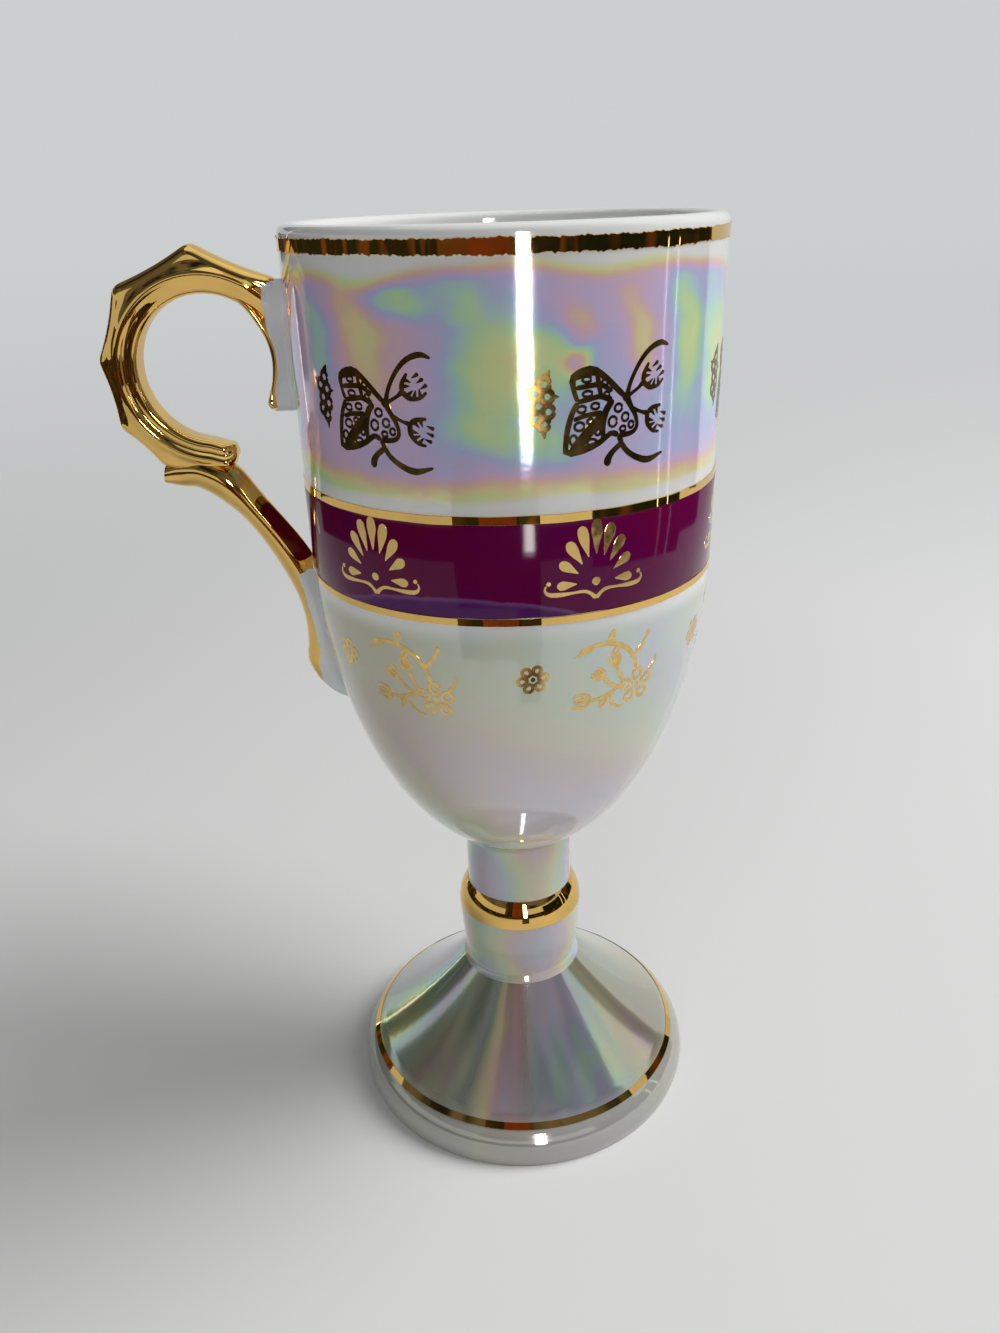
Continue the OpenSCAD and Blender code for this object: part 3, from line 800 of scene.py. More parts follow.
def ring_grid(h):
    """Ring of the handle: a section with bead, groove, crest, hollow side and rounded edge, carried round the hole.

    The knuckles fade from the edge towards the crest, and the groove fades towards the ring's start."""
    a = np.arange(RING_START, RING_END + 0.01, 0.5)
    outer, broad = ring_edge(h, a, 6.5)[:, None], ring_edge(h, a, 24)[:, None]
    inner = h.hole_r + 0.55 * smooth(a, 262, 279)[:, None]
    grooved = curve([(0, 0), (0, 0.7), (0.04, 1.25), (0.22, 1.62), (0.55, 1.84), (0.9, 1.86), (1.2, 1.78),
                     (1.45, 1.86), (1.75, 2.12), (2.1, 2.27), (CREST_W, 2.2)], 40)
    plain = curve([(0, 0), (0, 0.6), (0.06, 1.05), (0.25, 1.4), (0.55, 1.62), (0.9, 1.78), (1.2, 1.92),
                   (1.45, 2.04), (1.75, 2.18), (2.1, 2.26), (CREST_W, 2.2)], 40)
    low = plain + smooth(a, 120, 175)[:, None, None] * (grooved - plain)
    t = np.linspace(0, 1, 13)[1:]
    nose = np.radians(np.linspace(90, 0, 11))[1:]
    crest, edge = inner + CREST_W, broad + (outer - broad) * t ** 2.2 - EDGE_R
    rho = np.hstack([inner + low[..., 0], crest + (edge - crest) * t, outer - EDGE_R + EDGE_R * np.cos(nose)])
    side = np.concatenate([2.2 - 0.5 * t - 0.35 * t * (1 - t), 1.7 * np.sin(nose)])
    y = np.hstack([low[..., 1], np.broadcast_to(side, (len(a), len(side)))]) * h.half_t / DRAWN_HALF_T
    y = y * (0.72 + 0.28 * smooth(a, 40, 62))[:, None]
    end = rounded_end((a - CURL_START) / (RING_END - CURL_START))[:, None]
    rho, y = CURL_MIDDLE + (rho - CURL_MIDDLE) * end, y * end
    rho, y = np.hstack([rho, rho[:, ::-1]]), np.hstack([y, -y[:, ::-1]])
    rho, y = np.hstack([rho, rho[:, :1]]), np.hstack([y, y[:, :1]])
    start = np.full((1, rho.shape[1]), START_MIDDLE)
    rho, y, a = np.vstack([start, rho]), np.vstack([0 * start, y]), np.append(a[0], a)
    grid = round_hole(h, rho, y, a)
    limit = GOLD_X + GOLD_STEP * smooth(grid[..., 2], 108.7, 109.3)
    gilt = np.where(rho < h.hole_r + 1.1, 1.0, limit - grid[..., 0])
    return grid, {"gilt": np.clip(gilt, -1, 1)}


# Tail of the bead: angle round the hole, distance from its centre, half width, half thickness
TAIL = [(74, 8.62, 0.4, 1.35), (62, 8.55, 0.46, 1.62), (51.5, 8.27, 0.46, 1.74), (38, 7.92, 0.46, 1.84),
        (24, 7.75, 0.42, 1.84), (10, 7.6, 0.4, 1.8), (-5, 7.42, 0.35, 1.72), (-20, 7.36, 0.3, 1.6),
        (-26, 7.55, 0.44, 1.7), (-31, 7.86, 0.64, 1.9), (-36, 8.0, 0.6, 1.8)]
# Directions in degrees where the drop at the tail's end begins to close and where it ends
DROP_START, DROP_END = -31, -36


def tail_grid(h):
    """Tail of the bead down the bowl's side of the hole: an oval section that thins and ends in a drop."""
    a, middle, half, thick = curve(TAIL, 160).T
    end = rounded_end((DROP_START - a) / (DROP_START - DROP_END))
    half, thick = half * end, thick * end ** 0.5
    s = np.linspace(0, 2 * np.pi, 33)
    rho = middle[:, None] + half[:, None] * squared(np.cos(s), 0.8)
    y = thick[:, None] * squared(np.sin(s), 0.6)
    y[:, -1] = y[:, 0]
    return round_hole(h, rho, y, a), {"gilt": 1.0}


# Outer and inner edge of the arm as (x, z), half its thickness, and the width of its gold at some heights
ARM_OUTER = [(-40.43, 86.95), (-38.6, 86.45), (-36.65, 86.15), (-34.2, 84.55), (-31.5, 81.9), (-28.7, 77.4),
             (-26.7, 72.9), (-25.9, 69.5), (-25.85, 66.2), (-26.05, 64.6), (-25.95, 63.3), (-25.1, 61.4), (-23.9, 60),
             (-22.5, 58.9), (-20.9, 58.3)]
ARM_INNER = [(-40.2, 89.1), (-38.4, 90.0), (-35.6, 90.4), (-32.0, 88.8), (-29.3, 85.1), (-25.1, 79.2),
             (-22.7, 74.2), (-21.9, 70.2), (-21.2, 66.4), (-20.8, 64.2), (-20.5, 62.6), (-19.9, 60.9), (-19.5, 59.6),
             (-19.3, 58.7), (-19.2, 58.2)]
ARM_HALF_T = [1.5, 1.6, 2.0, 2.2, 2.2, 2.15, 2.05, 2.0, 1.95, 1.95, 1.9, 1.8, 1.6, 1.2, 0.5]
ARM_GOLD_Z = [59.6, 60.8, 62.6, 64.8, 67, 69.2, 71.3, 75.4, 76, 76.5]
ARM_GOLD_W = [0.1, 0.6, 1.35, 1.8, 1.45, 1.2, 1.1, 1.7, 2.4, 9]


def arm_grid():
    """Arm of the handle from the spur to the toe: a rounded diamond section between an outer and an inner edge."""
    rows = curve(np.column_stack([ARM_OUTER, ARM_INNER, ARM_HALF_T]), 180)
    o, i, half = rows[:, 0:2], rows[:, 2:4], rows[:, 4]
    grow = np.concatenate([[0, 0.7, 0.9], np.ones(len(o)), [0.5, 0]])
    ends = ((3, 2), (0, 0))
    o, i, half = np.pad(o, ends, "edge"), np.pad(i, ends, "edge"), np.pad(half, ends[0], "edge")
    o[0] += 0.12
    s = np.linspace(0, 2 * np.pi, 49)
    power = np.interp(np.linspace(0, 1, len(o)), [0, 0.12, 0.3, 0.55, 1], [0.75, 1.1, 1.25, 1.15, 0.8])[:, None]
    c = squared(np.cos(s), power) * grow[:, None]
    y = squared(np.sin(s), power) * (half * grow)[:, None]
    y[:, -1] = y[:, 0]
    xz = (o + i)[:, None] / 2 + c[..., None] * (o - i)[:, None] / 2
    xz[:, -1] = xz[:, 0]
    grid = np.stack([xz[..., 0], y, xz[..., 1]], -1)
    depth = np.linalg.norm(xz - o[:, None], axis=-1)
    width = np.interp(xz[..., 1], ARM_GOLD_Z, ARM_GOLD_W)
    return grid, {"gilt": np.clip(width - depth, -1, 1)}


# Upper pad: height of its middle, half its height, radius of its nose and how far out it goes
PAD_Z, PAD_HALF_H, NOSE_R, PAD_STOP_X = 102.1, 7.2, 0.8, -26.75
# Toe: lower and upper end of its seam, its middle, half its height and half its width
TOE_LOW, TOE_TOP, TOE_Z, TOE_HALF_H, TOE_HALF_W = 58.4, 77.4, 68.2, 9.3, 1.72
# Half the gap that the lower gold line leaves for the toe
TOE_GAP = 2.1


def pad_outline(half_w, n):
    """Outline of the upper pad: an upright oval squared off above and below, as rows of y and of z."""
    s = np.linspace(0, 2 * np.pi, n)
    return half_w * squared(np.cos(s), 0.9), PAD_Z + PAD_HALF_H * squared(np.sin(s), 0.55)


def toe_outline(n):
    """Outline of the toe on the wall: a long oval whose width falls with the fourth power, as (y, z) points."""
    z = np.concatenate([np.linspace(TOE_LOW, TOE_TOP, n), np.linspace(TOE_TOP, TOE_LOW, n)[1:-1]])
    half = TOE_HALF_W * np.clip(1 - ((z - TOE_Z) / TOE_HALF_H) ** 4, 0, None) ** 0.5
    return closed(np.stack([np.where(np.arange(len(z)) < n, half, -half), z], -1))


def pad_grid(h, wall):
    """Upper pad: a rounded oval section carried from inside the wall to the finger hole, with a rounded nose."""
    y, z = pad_outline(h.pad_half_t, 81)
    line = polar(*np.array(TAIL)[3:, 1::-1].T)[::-1]
    left = np.maximum(np.interp(z - h.hole_z, line[:, 1], line[:, 0]) - h.hole_x, PAD_STOP_X)
    inside = -(wall(z) - 1.0)
    t = np.concatenate([np.linspace(0, 1, 12), np.ones(6)])[:, None]
    nose = np.radians(np.concatenate([np.zeros(12), np.linspace(15, 90, 6)]))[:, None]
    x = inside + (left + NOSE_R - inside) * t - NOSE_R * np.sin(nose)
    grid = np.stack([x, y * np.cos(nose) * (1.12 - 0.12 * t), np.broadcast_to(z, x.shape)], -1)
    grid = np.concatenate([np.stack([grid[0, :, 0], 0 * y, z], -1)[None], grid])
    grid[:, -1] = grid[:, 0]
    return grid, {"gilt": -1.0}


def seam_grid(outline, wall, size):
    """Glaze fillet round a pad: a hollow quarter circle from the pad's side down to the wall, along an outline.

    The outline holds (y, z) points on the wall, in order against the clock as seen from -X."""
    p = np.asarray(outline, float)
    d = np.gradient(np.vstack([p[-2], p, p[1]]), axis=0)[1:-1]
    out = np.stack([d[:, 1], -d[:, 0]], -1) / (np.linalg.norm(d, axis=1)[:, None] + 1e-9)
    a = np.radians(np.linspace(0, 90, 7))
    q = p[:, None] + (size * (1 - np.cos(a)))[:, None] * out[:, None] - 0.05 * out[:, None]
    rise = size * (1 - np.sin(a)) - 0.02
    x = -np.sqrt(np.clip((wall(q[..., 1]) + rise) ** 2 - q[..., 0] ** 2, 0, None))
    grid = np.stack([x, q[..., 0], q[..., 1]], -1)
    grid[-1] = grid[0]
    return grid


# Lustre

# Thick spots of the lustre film on the bowl: arc length from the front, height, width, height of the spot, order
FILM_SPOTS = [
    (-1.6, 101.4, 4.6, 6.4, 0.50), (-1.8, 95.8, 3.4, 1.6, 0.16), (4.6, 95.6, 2.6, 2.2, 0.26),
    (4.0, 104.2, 2.8, 1.9, 0.24), (-9.6, 108.8, 3.4, 1.5, 0.40), (-15.2, 105.4, 2.4, 4.6, -0.3),
    (-21.5, 105.4, 2.0, 4.6, 0.36), (7.1, 106.3, 1.6, 2.2, -0.36), (6.4, 103.2, 1.2, 1.1, 0.64),
    (13.4, 104.6, 1.3, 4.0, -0.36), (20.2, 104.5, 2.2, 5.5, 0.42), (28.0, 101.0, 4.0, 5.0, 0.52),
    (36.0, 106.0, 3.0, 3.0, -0.3), (43.0, 97.5, 5.0, 4.0, 0.45), (52.0, 104.0, 4.5, 4.0, 0.55),
    (60.0, 97.0, 3.0, 3.0, -0.3), (68.0, 103.0, 4.0, 4.5, 0.40), (-31.0, 97.0, 3.0, 4.0, 0.50),
    (-44.0, 103.0, 5.0, 4.0, 0.50), (-54.0, 97.0, 4.0, 3.5, -0.34), (-63.0, 104.0, 4.0, 4.0, 0.42),
    (-72.0, 99.0, 4.0, 5.0, 0.55),
]
# Top and foot of the strong lustre, top of the faint lustre on the belly, and the height that parts the two films
LUSTRE_TOP, LUSTRE_LOW, BELLY_TOP, FILM_SPLIT = 111.4, 90.1, 76, 80
# Cover and metallic share of the lustre on the stem
STEM_PEARL, STEM_MIRROR = 0.4, 0.15
# Lustre film round the foot: direction in degrees, order, cover
FOOT_FILM = np.array([
    (-170, 0.30, 0.4), (-125, 0.10, 0.3), (-100, 0.16, 0.3), (-84, 0.40, 0.75), (-72, 0.42, 0.8),
    (-60, 0.20, 0.35), (-48, 0.58, 0.4), (-36, 0.62, 0.3), (-24, 0.38, 0.25), (-16, 0.74, 0.7), (-9, 0.95, 0.55),
    (0, 1.02, 0.25), (14, 1.14, 0.45), (34, 1.16, 0.5), (48, 1.40, 0.3), (62, 1.72, 0.45), (78, 1.60, 0.2),
    (100, 1.45, 0.25), (125, 1.60, 0.45), (150, 1.10, 0.5), (170, 1.32, 0.45),
])


# Stage, in metres

def dull(look, tint):
    """Matt surface without a reflection."""
    look.surface(Base_Color=tint, Roughness=0.9, Specular_IOR_Level=0.0)


def glowing(look, tint, strength):
    """Black surface that gives off light."""
    look.surface(Base_Color=(0, 0, 0, 1), Specular_IOR_Level=0.0, Emission_Color=tint, Emission_Strength=strength)


def paint_floor(look, finish):
    """Pale matt floor that fades into the background far from the cup."""
    tint = look.blend(look.noise(6, 2), darker(finish.floor, 0.97), rgba(finish.floor))
    matt = look.node("ShaderNodeBsdfPrincipled", {"Base Color": tint, "Roughness": 0.9, "Specular IOR Level": 0.0})
    reach = look.node("ShaderNodeVectorMath", {0: look.place()}, out="Value", operation="LENGTH")
    fade = 1 - (0.1 / reach).step(0.03, 0.55)
    clear = look.node("ShaderNodeBsdfTransparent")
    mixed = look.node("ShaderNodeMixShader", {0: fade, 1: matt, 2: clear})
    look.node("ShaderNodeOutputMaterial", {"Surface": mixed})


def paint_card(look, finish):
    """Dark matt card with brown patches."""
    patch = look.noise(16, 1).step(0.5, 0.64)
    plain = look.blend(look.noise(7, 1).step(0.42, 0.58), (0.045, 0.036, 0.024, 1), (0.032, 0.042, 0.022, 1))
    dull(look, look.blend(patch, plain, (0.24, 0.1, 0.04, 1)))


def paint_warm(look, finish):
    """Red-brown matt card."""
    dull(look, look.blend(look.noise(60, 1), (0.24, 0.06, 0.025, 1), (0.34, 0.1, 0.045, 1)))


def paint_ceiling(look, finish):
    """Dim, cloudy glow of the room above the camera."""
    cloud = look.noise(5, 2).step(0.36, 0.62)
    glowing(look, look.blend(cloud, (0.015, 0.015, 0.017, 1), (0.14, 0.135, 0.13, 1)), 1.0)


def paint_strip(look, finish):
    """Glow that falls off from the strip's middle as a parabola and is faint at its foot."""
    off = (look.axis("X") - STRIP_X) / STRIP_HALF_W
    height = look.axis("Z")
    rise = 0.2 * height.step(0.018, 0.022) + 0.8 * height.step(0.03, 0.038)
    shine = (1 - off.math("MINIMUM", off * off, 1)) * rise
    glowing(look, look.blend(shine, (0, 0, 0, 1), (1, 0.97, 0.93, 1)), 40.0)


def paint_slit(look, finish):
    """Even glow of a narrow window."""
    glowing(look, (1, 0.98, 0.95, 1), 3.5)


# Half the floor's width, and the strip's middle and half width
FLOOR_HALF, STRIP_X, STRIP_HALF_W = 3.0, 0.048, 0.0196
# Upright sheets: name, first and last direction in degrees, distance from the axis, lower and upper edge, painter
CARDS = [
    ("dark_surround", -95, 119, 0.62, (0, 0.1), paint_card),
    ("dark_far_left", -132, -95, 0.62, (0, 0.2), paint_card),
    ("dark_low_left", -150, -132, 0.62, (0.075, 0.14), paint_card),
    ("dark_front", -26.5, 4.2, 0.09, (0.028, 0.115), paint_card),
    ("warm_front", -14, 3, 0.0895, (0.029, 0.11), paint_warm),
    ("dark_right", 42, 100, 0.24, (0, 0.105), paint_card),
    ("dark_far_right", 100, 118, 0.24, (0.03, 0.105), paint_card),
    ("ceiling", -150, 78, 0.5, (0.22, 0.95), paint_ceiling),
    ("slit_right", 82.05, 82.55, 0.235, (0, 0.1), paint_slit),
    ("slit_far_right", 89.55, 90.05, 0.235, (0, 0.1), paint_slit),
    ("slit_left", -129.6, -129.0, 0.3, (0, 0.25), paint_slit),
    ("strip", 5.6, 12, 0.3, (0.018, 0.23), paint_strip),
]
# Sheets just above the floor: name, first and last direction in degrees, nearest and furthest distance
RUGS = [("dark_rug", -122, 119, 0.33, 0.62), ("dark_path", 3, 15, 0.09, 0.33)]
RUG_Z = 0.001
# Square lamps: name, place, point aimed at, width, watts, whether reflections show it
LAMPS = [
    ("key", (0.72, 0.05, 0.82), (0, 0, 0.05), 0.7, 10.8, False),
    ("fill", (-0.2, -0.7, 0.5), (0, 0, 0.1), 0.5, 1.1, False),
    ("top", (-0.1, 0.1, 1.1), (0, 0, 0.05), 0.9, 0.6, True),
]
# Background that lights the cup, and the one that the camera and reflections see
WORLD_DIM, WORLD_PALE = (0.12, 0.125, 0.125, 1), (0.60, 0.62, 0.62, 1)
# Camera that matches the photo: focal length and sensor in millimetres, axes and place
LENS, SENSOR = 28.905, 36
CAMERA = ((0.99959, 0.001377, -0.028582), (0.025499, 0.410421, 0.91154), (0.012986, -0.911895, 0.410218),
          (0, -0.12476219, 0.11796796))


def pose(right, up, back, place):
    """Matrix of an object with these axes at this place."""
    return Matrix(np.vstack([np.column_stack([right, up, back, place]), [0, 0, 0, 1]]).tolist())


# Operators

# Steps round the axis
BOWL_STEPS, STEM_STEPS, FOOT_STEPS = 288, 192, 256
# Seams of the stem: height over the bowl's seat, depth on the neck, reach on foot and stem, distance over which a
# slope is measured, distance of the inner side from the bore, overlap
SEAM_UP, SEAM_DOWN, SEAM_REACH, SLOPE_RUN, SEAM_IN, OVERLAP = 0.7, 0.9, 0.35, 0.2, 1.5, 0.01
# Ragged edges of the rim's gold: counts round the cup and their sizes
RAGGED_COUNTS = np.array([3, 8, 17, 41, 77, 131, 190, 263, 331])
RAGGED_SIZES = np.array([0.06, 0.04, 0.035, 0.035, 0.035, 0.035, 0.035, 0.025, 0.025])
# How deep the gold's underside lies in the glaze
SUNK = 0.05
FINISHES = {"pearl_lustre": paint_pearl, "white_glaze": paint_glaze, "burnished_gold": paint_gold,
            "gilded_handle": paint_handle, "dark_gilt": paint_dark_gilt, "pale_gilt": paint_pale_gilt,
            "burgundy_enamel": paint_burgundy}


def add(name, parts, finish, slot, nodes=(), **how):
    """Builds a piece with one of the finishes."""
    build(name, parts, material(finish, FINISHES[finish]), slot, nodes, **how)


class CUP_OT_bowl(bpy.types.Operator):
    """Make the bowl with its lustre"""
    bl_idname = "cup.bowl"
    bl_label = "Bowl"

    def execute(self, context):
        b = in_mm(context.scene.cup.bowl)
        lip = arc((b.lip_r - b.wall_t / 2, b.lip_z - b.wall_t / 2), b.wall_t / 2, 9, 180, 18)
        out = bowl_outside(b)
        profile = np.vstack([[0, b.seat_z], out, lip, bowl_inside(b)])
        grid = turned(profile, BOWL_STEPS)
        a, z = direction(grid), grid[..., 2]
        s = a * b.lip_r
        outside = (np.arange(len(profile)) <= len(out)).astype(float)
        top = LUSTRE_TOP + ripple(a, (0.5, 3, 1), (0.35, 7, 2.2), (0.2, 13, 0))
        low = LUSTRE_LOW + ripple(a, (0.25, 4, 0.6), (0.15, 9, 0))
        strong = smooth(z, low - 0.7, low + 0.5) * (1 - smooth(z, top - 0.7, top + 0.4))
        faint = 0.34 * (1 - smooth(z, BELLY_TOP - 1, BELLY_TOP + 1))
        u = s + 0.7 * np.sin(z / 1.9 + 1) + 0.4 * np.sin(z / 0.9)
        v = z + 0.5 * np.sin(s / 2.3) + 0.3 * np.sin(s / 1.1 + 2)
        film = 0.06 * np.sin(2 * a + 0.4) + 0.05 * np.sin(5 * a + z / 4)
        for place, height, wide, tall, order in FILM_SPOTS:
            film = film + order / (1 + (((u - place) / wide) ** 2 + ((v - height) / tall) ** 2) ** 2)
        film = film - 0.45 * (1 - smooth(z - low, 0.2, 3.2)) - 0.4 * (1 - smooth(top - z, 0.2, 1.8))
        below = 0.60 + 0.2 * np.sin(2 * a + z / 9 + 1) + 0.26 * np.sin(z / 6.5 + a)
        film = np.where(z > FILM_SPLIT, film, below)
        # Painted shade: below the belly the glaze turns to the dark ivory towards the left, is lighter on the right
        # and lightest at the front
        shade = 0.95 - 0.35 * smooth(a, -1, 0.7) - 0.35 * bump(a, 0.1, 0.5)
        white = 1 - outside * (1 - smooth(z, BELLY_TOP - 1.5, BELLY_TOP + 0.5)) * shade
        add("bowl", [(grid, {"pearl": (strong + faint) * outside, "film": film, "mirror": 0.16 * strong * outside,
                             "white": white})], "pearl_lustre", "porcelain", ["bowl"])
        return {"FINISHED"}


class CUP_OT_stem(bpy.types.Operator):
    """Make the stem and the two seams that join it"""
    bl_idname = "cup.stem"
    bl_label = "Stem"

    def lustred(self, name, grid, film, slot, node):
        """Piece with the stem's lustre."""
        add(name, [(grid, {"pearl": STEM_PEARL, "film": film, "mirror": STEM_MIRROR})], "pearl_lustre", slot, [node])

    def cove(self, name, start, corner, end, inner, node):
        """Ring whose outside is a hollow quadratic curve between two surfaces that meet in a corner."""
        t = np.linspace(0, 1, 12)[:, None]
        line = (1 - t) ** 2 * np.array(start) + 2 * t * (1 - t) * np.array(corner) + t ** 2 * np.array(end)
        grid = turned(closed(np.vstack([line, [(inner, end[1]), (inner, start[1])]])), STEM_STEPS)
        film = 0.55 + 0.35 * np.sin(3 * direction(grid) + 0.5)
        self.lustred(name, grid, film, "slip", node)

    def execute(self, context):
        cup = context.scene.cup
        s, f, b = in_mm(cup.stem), in_mm(cup.foot), in_mm(cup.bowl)
        low, slope, neck = stem_outside(s)
        side = np.vstack([low, slope[1:], neck[1:]])
        grid = turned(closed(np.vstack([side, [(s.bore_r, s.top_z), (s.bore_r, s.low_z)]])), STEM_STEPS)
        a, z = direction(grid), grid[..., 2]
        film = 0.55 + 0.35 * np.sin(3 * a + 0.5) + 0.25 * np.sin(z / 3)
        self.lustred("stem", grid, film, "porcelain", "stem")
        radius, _ = bowl_wall(b)
        over = b.seat_z + SEAM_UP
        spread = (radius(over + SLOPE_RUN) - radius(over)) / SLOPE_RUN
        corner = (s.neck_r, over - (radius(over) - s.neck_r) / spread)
        self.cove("bowl_seam", (s.neck_r - OVERLAP, s.top_z - SEAM_DOWN), corner, (radius(over) + OVERLAP, over),
                  s.bore_r + SEAM_IN, "bowl_joint")
        out, _, _, _ = foot_outside(f, s)
        flare_r, side_z = s.collar_r + f.ledge_w + SEAM_REACH, s.low_z + SEAM_REACH
        near, far = (np.interp(-r, -out[:, 0], out[:, 1]) for r in (flare_r, flare_r + SLOPE_RUN))
        side_r = np.interp(side_z, low[:, 1], low[:, 0])
        corner = (side_r, near + (near - far) / SLOPE_RUN * (flare_r - side_r))
        self.cove("foot_seam", (flare_r, near + OVERLAP), corner, (side_r - OVERLAP, side_z), s.bore_r + SEAM_IN,
                  "foot_joint")
        return {"FINISHED"}


class CUP_OT_foot(bpy.types.Operator):
    """Make the hollow, flared foot"""
    bl_idname = "cup.foot"
    bl_label = "Foot"

    def execute(self, context):
        cup = context.scene.cup
        f, s = in_mm(cup.foot), in_mm(cup.stem)
        out, away, _, start = foot_outside(f, s)
        inner = start - f.wall_t * away
        rise = -away[0] / away[1]
        hollow = [(s.bore_r, f.top_z), (s.bore_r, inner[1] + rise * (s.bore_r - inner[0])),
                  (f.ring_in_r, inner[1] + rise * (f.ring_in_r - inner[0])), (f.ring_in_r, 0)]
        grid = turned(closed(np.vstack([out, hollow])), FOOT_STEPS)
        a, r = direction(grid), np.hypot(grid[..., 0], grid[..., 1])
        film, cover = (np.interp(np.degrees(a), FOOT_FILM[:, 0], FOOT_FILM[:, k], period=360) for k in (1, 2))
        film = film + 0.1 * np.sin(r / 2.2) + 0.06 * np.sin(29 * a + r / 3)
        edge = smooth(r, f.foot_r - 3.2, f.foot_r - 1.8)
        add("foot", [(grid, {"pearl": cover * (1 - 0.7 * edge), "film": film, "mirror": 0.72 - 0.47 * edge})],
            "pearl_lustre", "porcelain", ["foot"])
        return {"FINISHED"}


class CUP_OT_handle(bpy.types.Operator):
    """Make the gilded handle and the glaze round its pads"""
    bl_idname = "cup.handle"
    bl_label = "Handle"

    def execute(self, context):
        cup = context.scene.cup
        h = in_mm(cup.handle)
        wall, _ = bowl_wall(in_mm(cup.bowl))
        add("handle", [ring_grid(h), tail_grid(h), arm_grid(), pad_grid(h, wall)], "gilded_handle", "burnished_gold",
            ["handle"], crease=50)
        upper = np.stack(pad_outline(h.pad_half_t + 0.15, 121), -1)
        upper[-1] = upper[0]
        for end, outline in (("upper", upper), ("lower", toe_outline(60))):
            add(end + "_handle_seam", [(seam_grid(outline, wall, h.fillet), {})], "white_glaze", "slip",
                [end + "_handle_joint"], solid=False)
        return {"FINISHED"}


class CUP_OT_bands(bpy.types.Operator):
    """Make the enamel band and the gold bands and lines"""
    bl_idname = "cup.bands"
    bl_label = "Fired bands"

    def gold(self, name, grid):
        """Gold piece, named as its solid."""
        add(name, [(grid, {})], "burnished_gold", "burnished_gold", [name])

    def wall_band(self, wall, low, high, film, a):
        """Thin closed layer on the wall between two heights given for each direction."""
        t = np.array([0, 0.03, 0.5, 0.97, 1, 0.5, 0])
        lift = np.array([-0.05, 1, 1, 1, -0.05, -0.3, -0.05]) * film
        z = low[:, None] + (high - low)[:, None] * t
        r = wall(z) + lift
        return np.stack([r * np.sin(a)[:, None], -r * np.cos(a)[:, None], z], -1)

    def execute(self, context):
        cup = context.scene.cup
        g, s, f = in_mm(cup.gilt), in_mm(cup.stem), in_mm(cup.foot)
        wall, _ = bowl_wall(in_mm(cup.bowl))
        a = np.linspace(0, 2 * np.pi, 1441)
        shifts = np.random.default_rng(7).uniform(0, 2 * np.pi, (2, len(RAGGED_COUNTS)))
        low_edge, high_edge = ((RAGGED_SIZES * np.sin(a[:, None] * RAGGED_COUNTS + p)).sum(1) for p in shifts)
        rim = self.wall_band(wall, g.rim_z + low_edge, g.rim_z + g.rim_h + 0.8 * high_edge, g.film_t, a)
        rim[-1] = rim[0]
        self.gold("rim_gilt_band", rim)
        fine = ripple(a, (0.03, 5, 1), (0.02, 23, 0))
        for name, z, tall, finish in (("upper_gilt_line", g.upper_z, g.upper_h, "burnished_gold"),
                                      ("burgundy_band", g.enamel_z, g.enamel_h, "burgundy_enamel")):
            ring = self.wall_band(wall, z + fine, z + tall + fine, g.film_t, a)
            ring[-1] = ring[0]
            add(name, [(ring, {})], finish, finish, [name])
        gap = TOE_GAP / wall(g.lower_z)
        part = np.linspace(-np.pi / 2 + gap, 3 * np.pi / 2 - gap, 1200)
        level = np.full(len(part), g.lower_z)
        line = self.wall_band(wall, level, level + g.lower_h, g.film_t, part)
        ends = [np.broadcast_to(line[k].mean(0), line[k].shape)[None] for k in (0, -1)]
        self.gold("lower_gilt_line", np.concatenate([ends[0], line, ends[1]]))
        _, slope, _ = stem_outside(s)
        skin = slope + g.film_t * np.stack([np.linspace(1, 0.6, len(slope)), np.linspace(0, 0.8, len(slope))], -1)
        self.gold("stem_gilt_band", turned(closed(np.vstack([skin, slope[::-1] - [SUNK, 0]])), STEM_STEPS))
        _, away, up, start = foot_outside(f, s)
        low, high = start + g.foot_in * up, start + (g.foot_in + g.foot_w) * up
        ring = np.array([low - SUNK * away, low + g.film_t * away, high + g.film_t * away, high - SUNK * away])
        self.gold("foot_gilt_line", turned(closed(ring), FOOT_STEPS))
        return {"FINISHED"}


class CUP_OT_motifs(bpy.types.Operator):
    """Make the gilt palmettes and sprigs"""
    bl_idname = "cup.motifs"
    bl_label = "Gilt motifs"

    def execute(self, context):
        cup = context.scene.cup
        b, g = in_mm(cup.bowl), in_mm(cup.gilt)
        flowers = spray() + blossom(-9.4, 1.0, 1.6, 6, 0.15, 10)
        for name, strokes, bold, z, turn, lift, finish in (
                ("gilt_palmettes", palmette(), 1.0, g.enamel_z + PALMETTE_UP, 0, g.film_t, "pale_gilt"),
                ("upper_gilt_sprigs", sprig() + seed_leaf(), 1.15, SPRIG_Z, 7.4, 0, "dark_gilt"),
                ("lower_gilt_sprigs", flowers, 1.45, SPRAY_Z, 7, 0, "pale_gilt")):
            parts = on_wall(ribbons(strokes, g.relief, bold), b, z, MOTIF_TURNS + turn, lift)
            add(name, parts, finish, "burnished_gold", solid=False, crease=8)
        return {"FINISHED"}


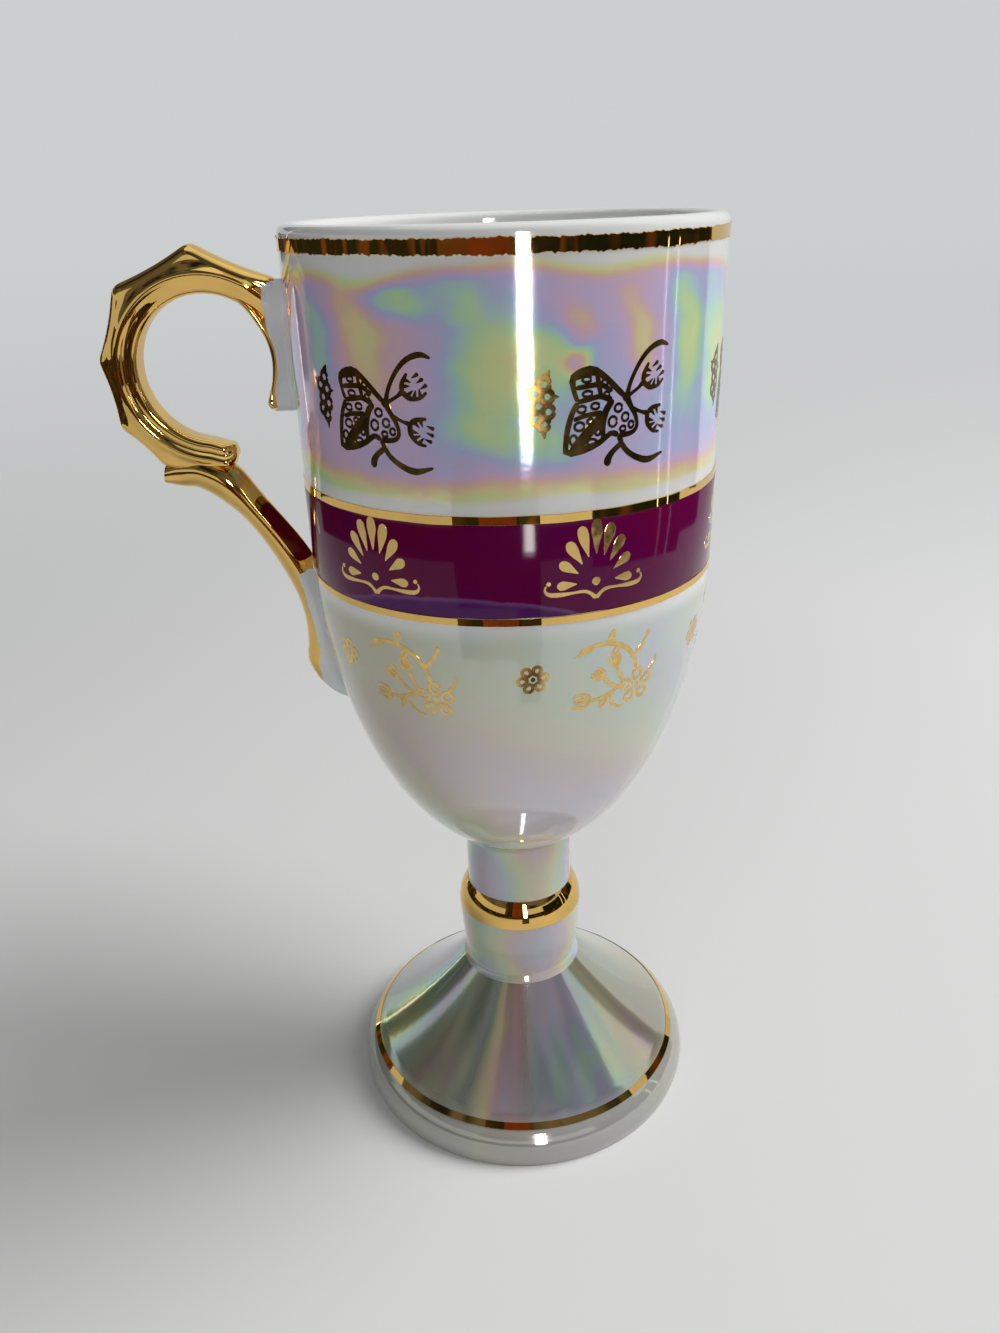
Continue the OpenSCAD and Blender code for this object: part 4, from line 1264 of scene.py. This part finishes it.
class CUP_OT_stage(bpy.types.Operator):
    """Make the floor, the lights, the world and the camera"""
    bl_idname = "cup.stage"
    bl_label = "Stage"

    def lamp(self, name, place, target, size, power, glossy):
        """Soft square lamp aimed at a point."""
        data = bpy.data.lights.new(name, "AREA")
        data.shape, data.size, data.size_y, data.energy = "RECTANGLE", size, size, power
        lamp = bpy.data.objects.new(name, data)
        away = np.subtract(place, target)
        away = away / np.linalg.norm(away)
        side = np.cross((0, 0, 1), away)
        side /= np.linalg.norm(side)
        lamp.matrix_world = pose(side, np.cross(away, side), away, place)
        lamp.visible_glossy = glossy
        bpy.context.scene.collection.objects.link(lamp)

    def sheet(self, name, grid, paint, seen=True):
        """Stage piece from a grid of points in metres. One that isn't seen shows in reflections alone."""
        points, faces = woven(np.asarray(grid, float))
        mesh = bpy.data.meshes.new(name)
        mesh.from_pydata(points.tolist(), [], faces.tolist())
        mesh.materials.append(material(name, paint))
        piece = bpy.data.objects.new(name, mesh)
        bpy.context.scene.collection.objects.link(piece)
        if not seen:
            piece.visible_camera = piece.visible_diffuse = piece.visible_shadow = False

    def execute(self, context):
        scene = context.scene
        wide = np.array([-FLOOR_HALF, FLOOR_HALF])
        self.sheet("pale_floor", np.stack(np.broadcast_arrays(wide[:, None], wide, 0), -1), paint_floor)
        for name, start, end, r, edges, paint in CARDS:
            turn = np.radians(np.linspace(start, end, 25))[:, None]
            grid = np.stack(np.broadcast_arrays(r * np.sin(turn), -r * np.cos(turn), np.array(edges)), -1)
            self.sheet(name, grid, paint, seen=False)
        for name, start, end, near, far in RUGS:
            turn, r = np.radians(np.linspace(start, end, 49))[:, None], np.array([near, far])
            grid = np.stack(np.broadcast_arrays(r * np.sin(turn), -r * np.cos(turn), RUG_Z), -1)
            self.sheet(name, grid, paint_card, seen=False)
        for row in LAMPS:
            self.lamp(*row)
        scene.world = bpy.data.worlds.new("studio")
        look = Look(scene.world)
        camera, glossy, through = (look.node("ShaderNodeLightPath", out="Is %s Ray" % ray)
                                   for ray in ("Camera", "Glossy", "Transmission"))
        dim, pale = (look.node("ShaderNodeBackground", {"Color": tint}) for tint in (WORLD_DIM, WORLD_PALE))
        mixed = look.node("ShaderNodeMixShader", {0: camera + glossy + through, 1: dim, 2: pale})
        look.node("ShaderNodeOutputWorld", {"Surface": mixed})
        data = bpy.data.cameras.new("camera")
        data.sensor_width, data.lens = SENSOR, LENS
        data.clip_start, data.clip_end = 0.005, 50
        scene.camera = bpy.data.objects.new("camera", data)
        scene.camera.matrix_world = pose(*CAMERA)
        scene.collection.objects.link(scene.camera)
        scene.view_settings.view_transform = "Standard"
        return {"FINISHED"}


class CUP_PT_panel(bpy.types.Panel):
    """Lists the pieces of the cup"""
    bl_idname = "CUP_PT_panel"
    bl_label = "Demitasse cup"
    bl_space_type = "VIEW_3D"
    bl_region_type = "UI"
    bl_category = "Cup"

    def draw(self, context):
        for operator in OPERATORS:
            self.layout.operator(operator.bl_idname)


OPERATORS = (CUP_OT_bowl, CUP_OT_stem, CUP_OT_foot, CUP_OT_handle, CUP_OT_bands, CUP_OT_motifs, CUP_OT_stage)
CLASSES = (CupBowlSizes, CupStemSizes, CupFootSizes, CupHandleSizes, CupGiltSizes, CupFinish, CupSettings,
           *OPERATORS, CUP_PT_panel)


def register():
    """Adds the classes and the cup's settings to Blender."""
    for cls in CLASSES:
        bpy.utils.register_class(cls)
    bpy.types.Scene.cup = group(CupSettings, "Cup", "Demitasse cup")


def unregister():
    """Takes the settings and the classes out again."""
    del bpy.types.Scene.cup
    for cls in reversed(CLASSES):
        bpy.utils.unregister_class(cls)


def main():
    """Makes the cup and its stage."""
    register()
    bpy.ops.cup.bowl()
    bpy.ops.cup.stem()
    bpy.ops.cup.foot()
    bpy.ops.cup.handle()
    bpy.ops.cup.bands()
    bpy.ops.cup.motifs()
    bpy.ops.cup.stage()


if __name__ == "__main__":
    main()
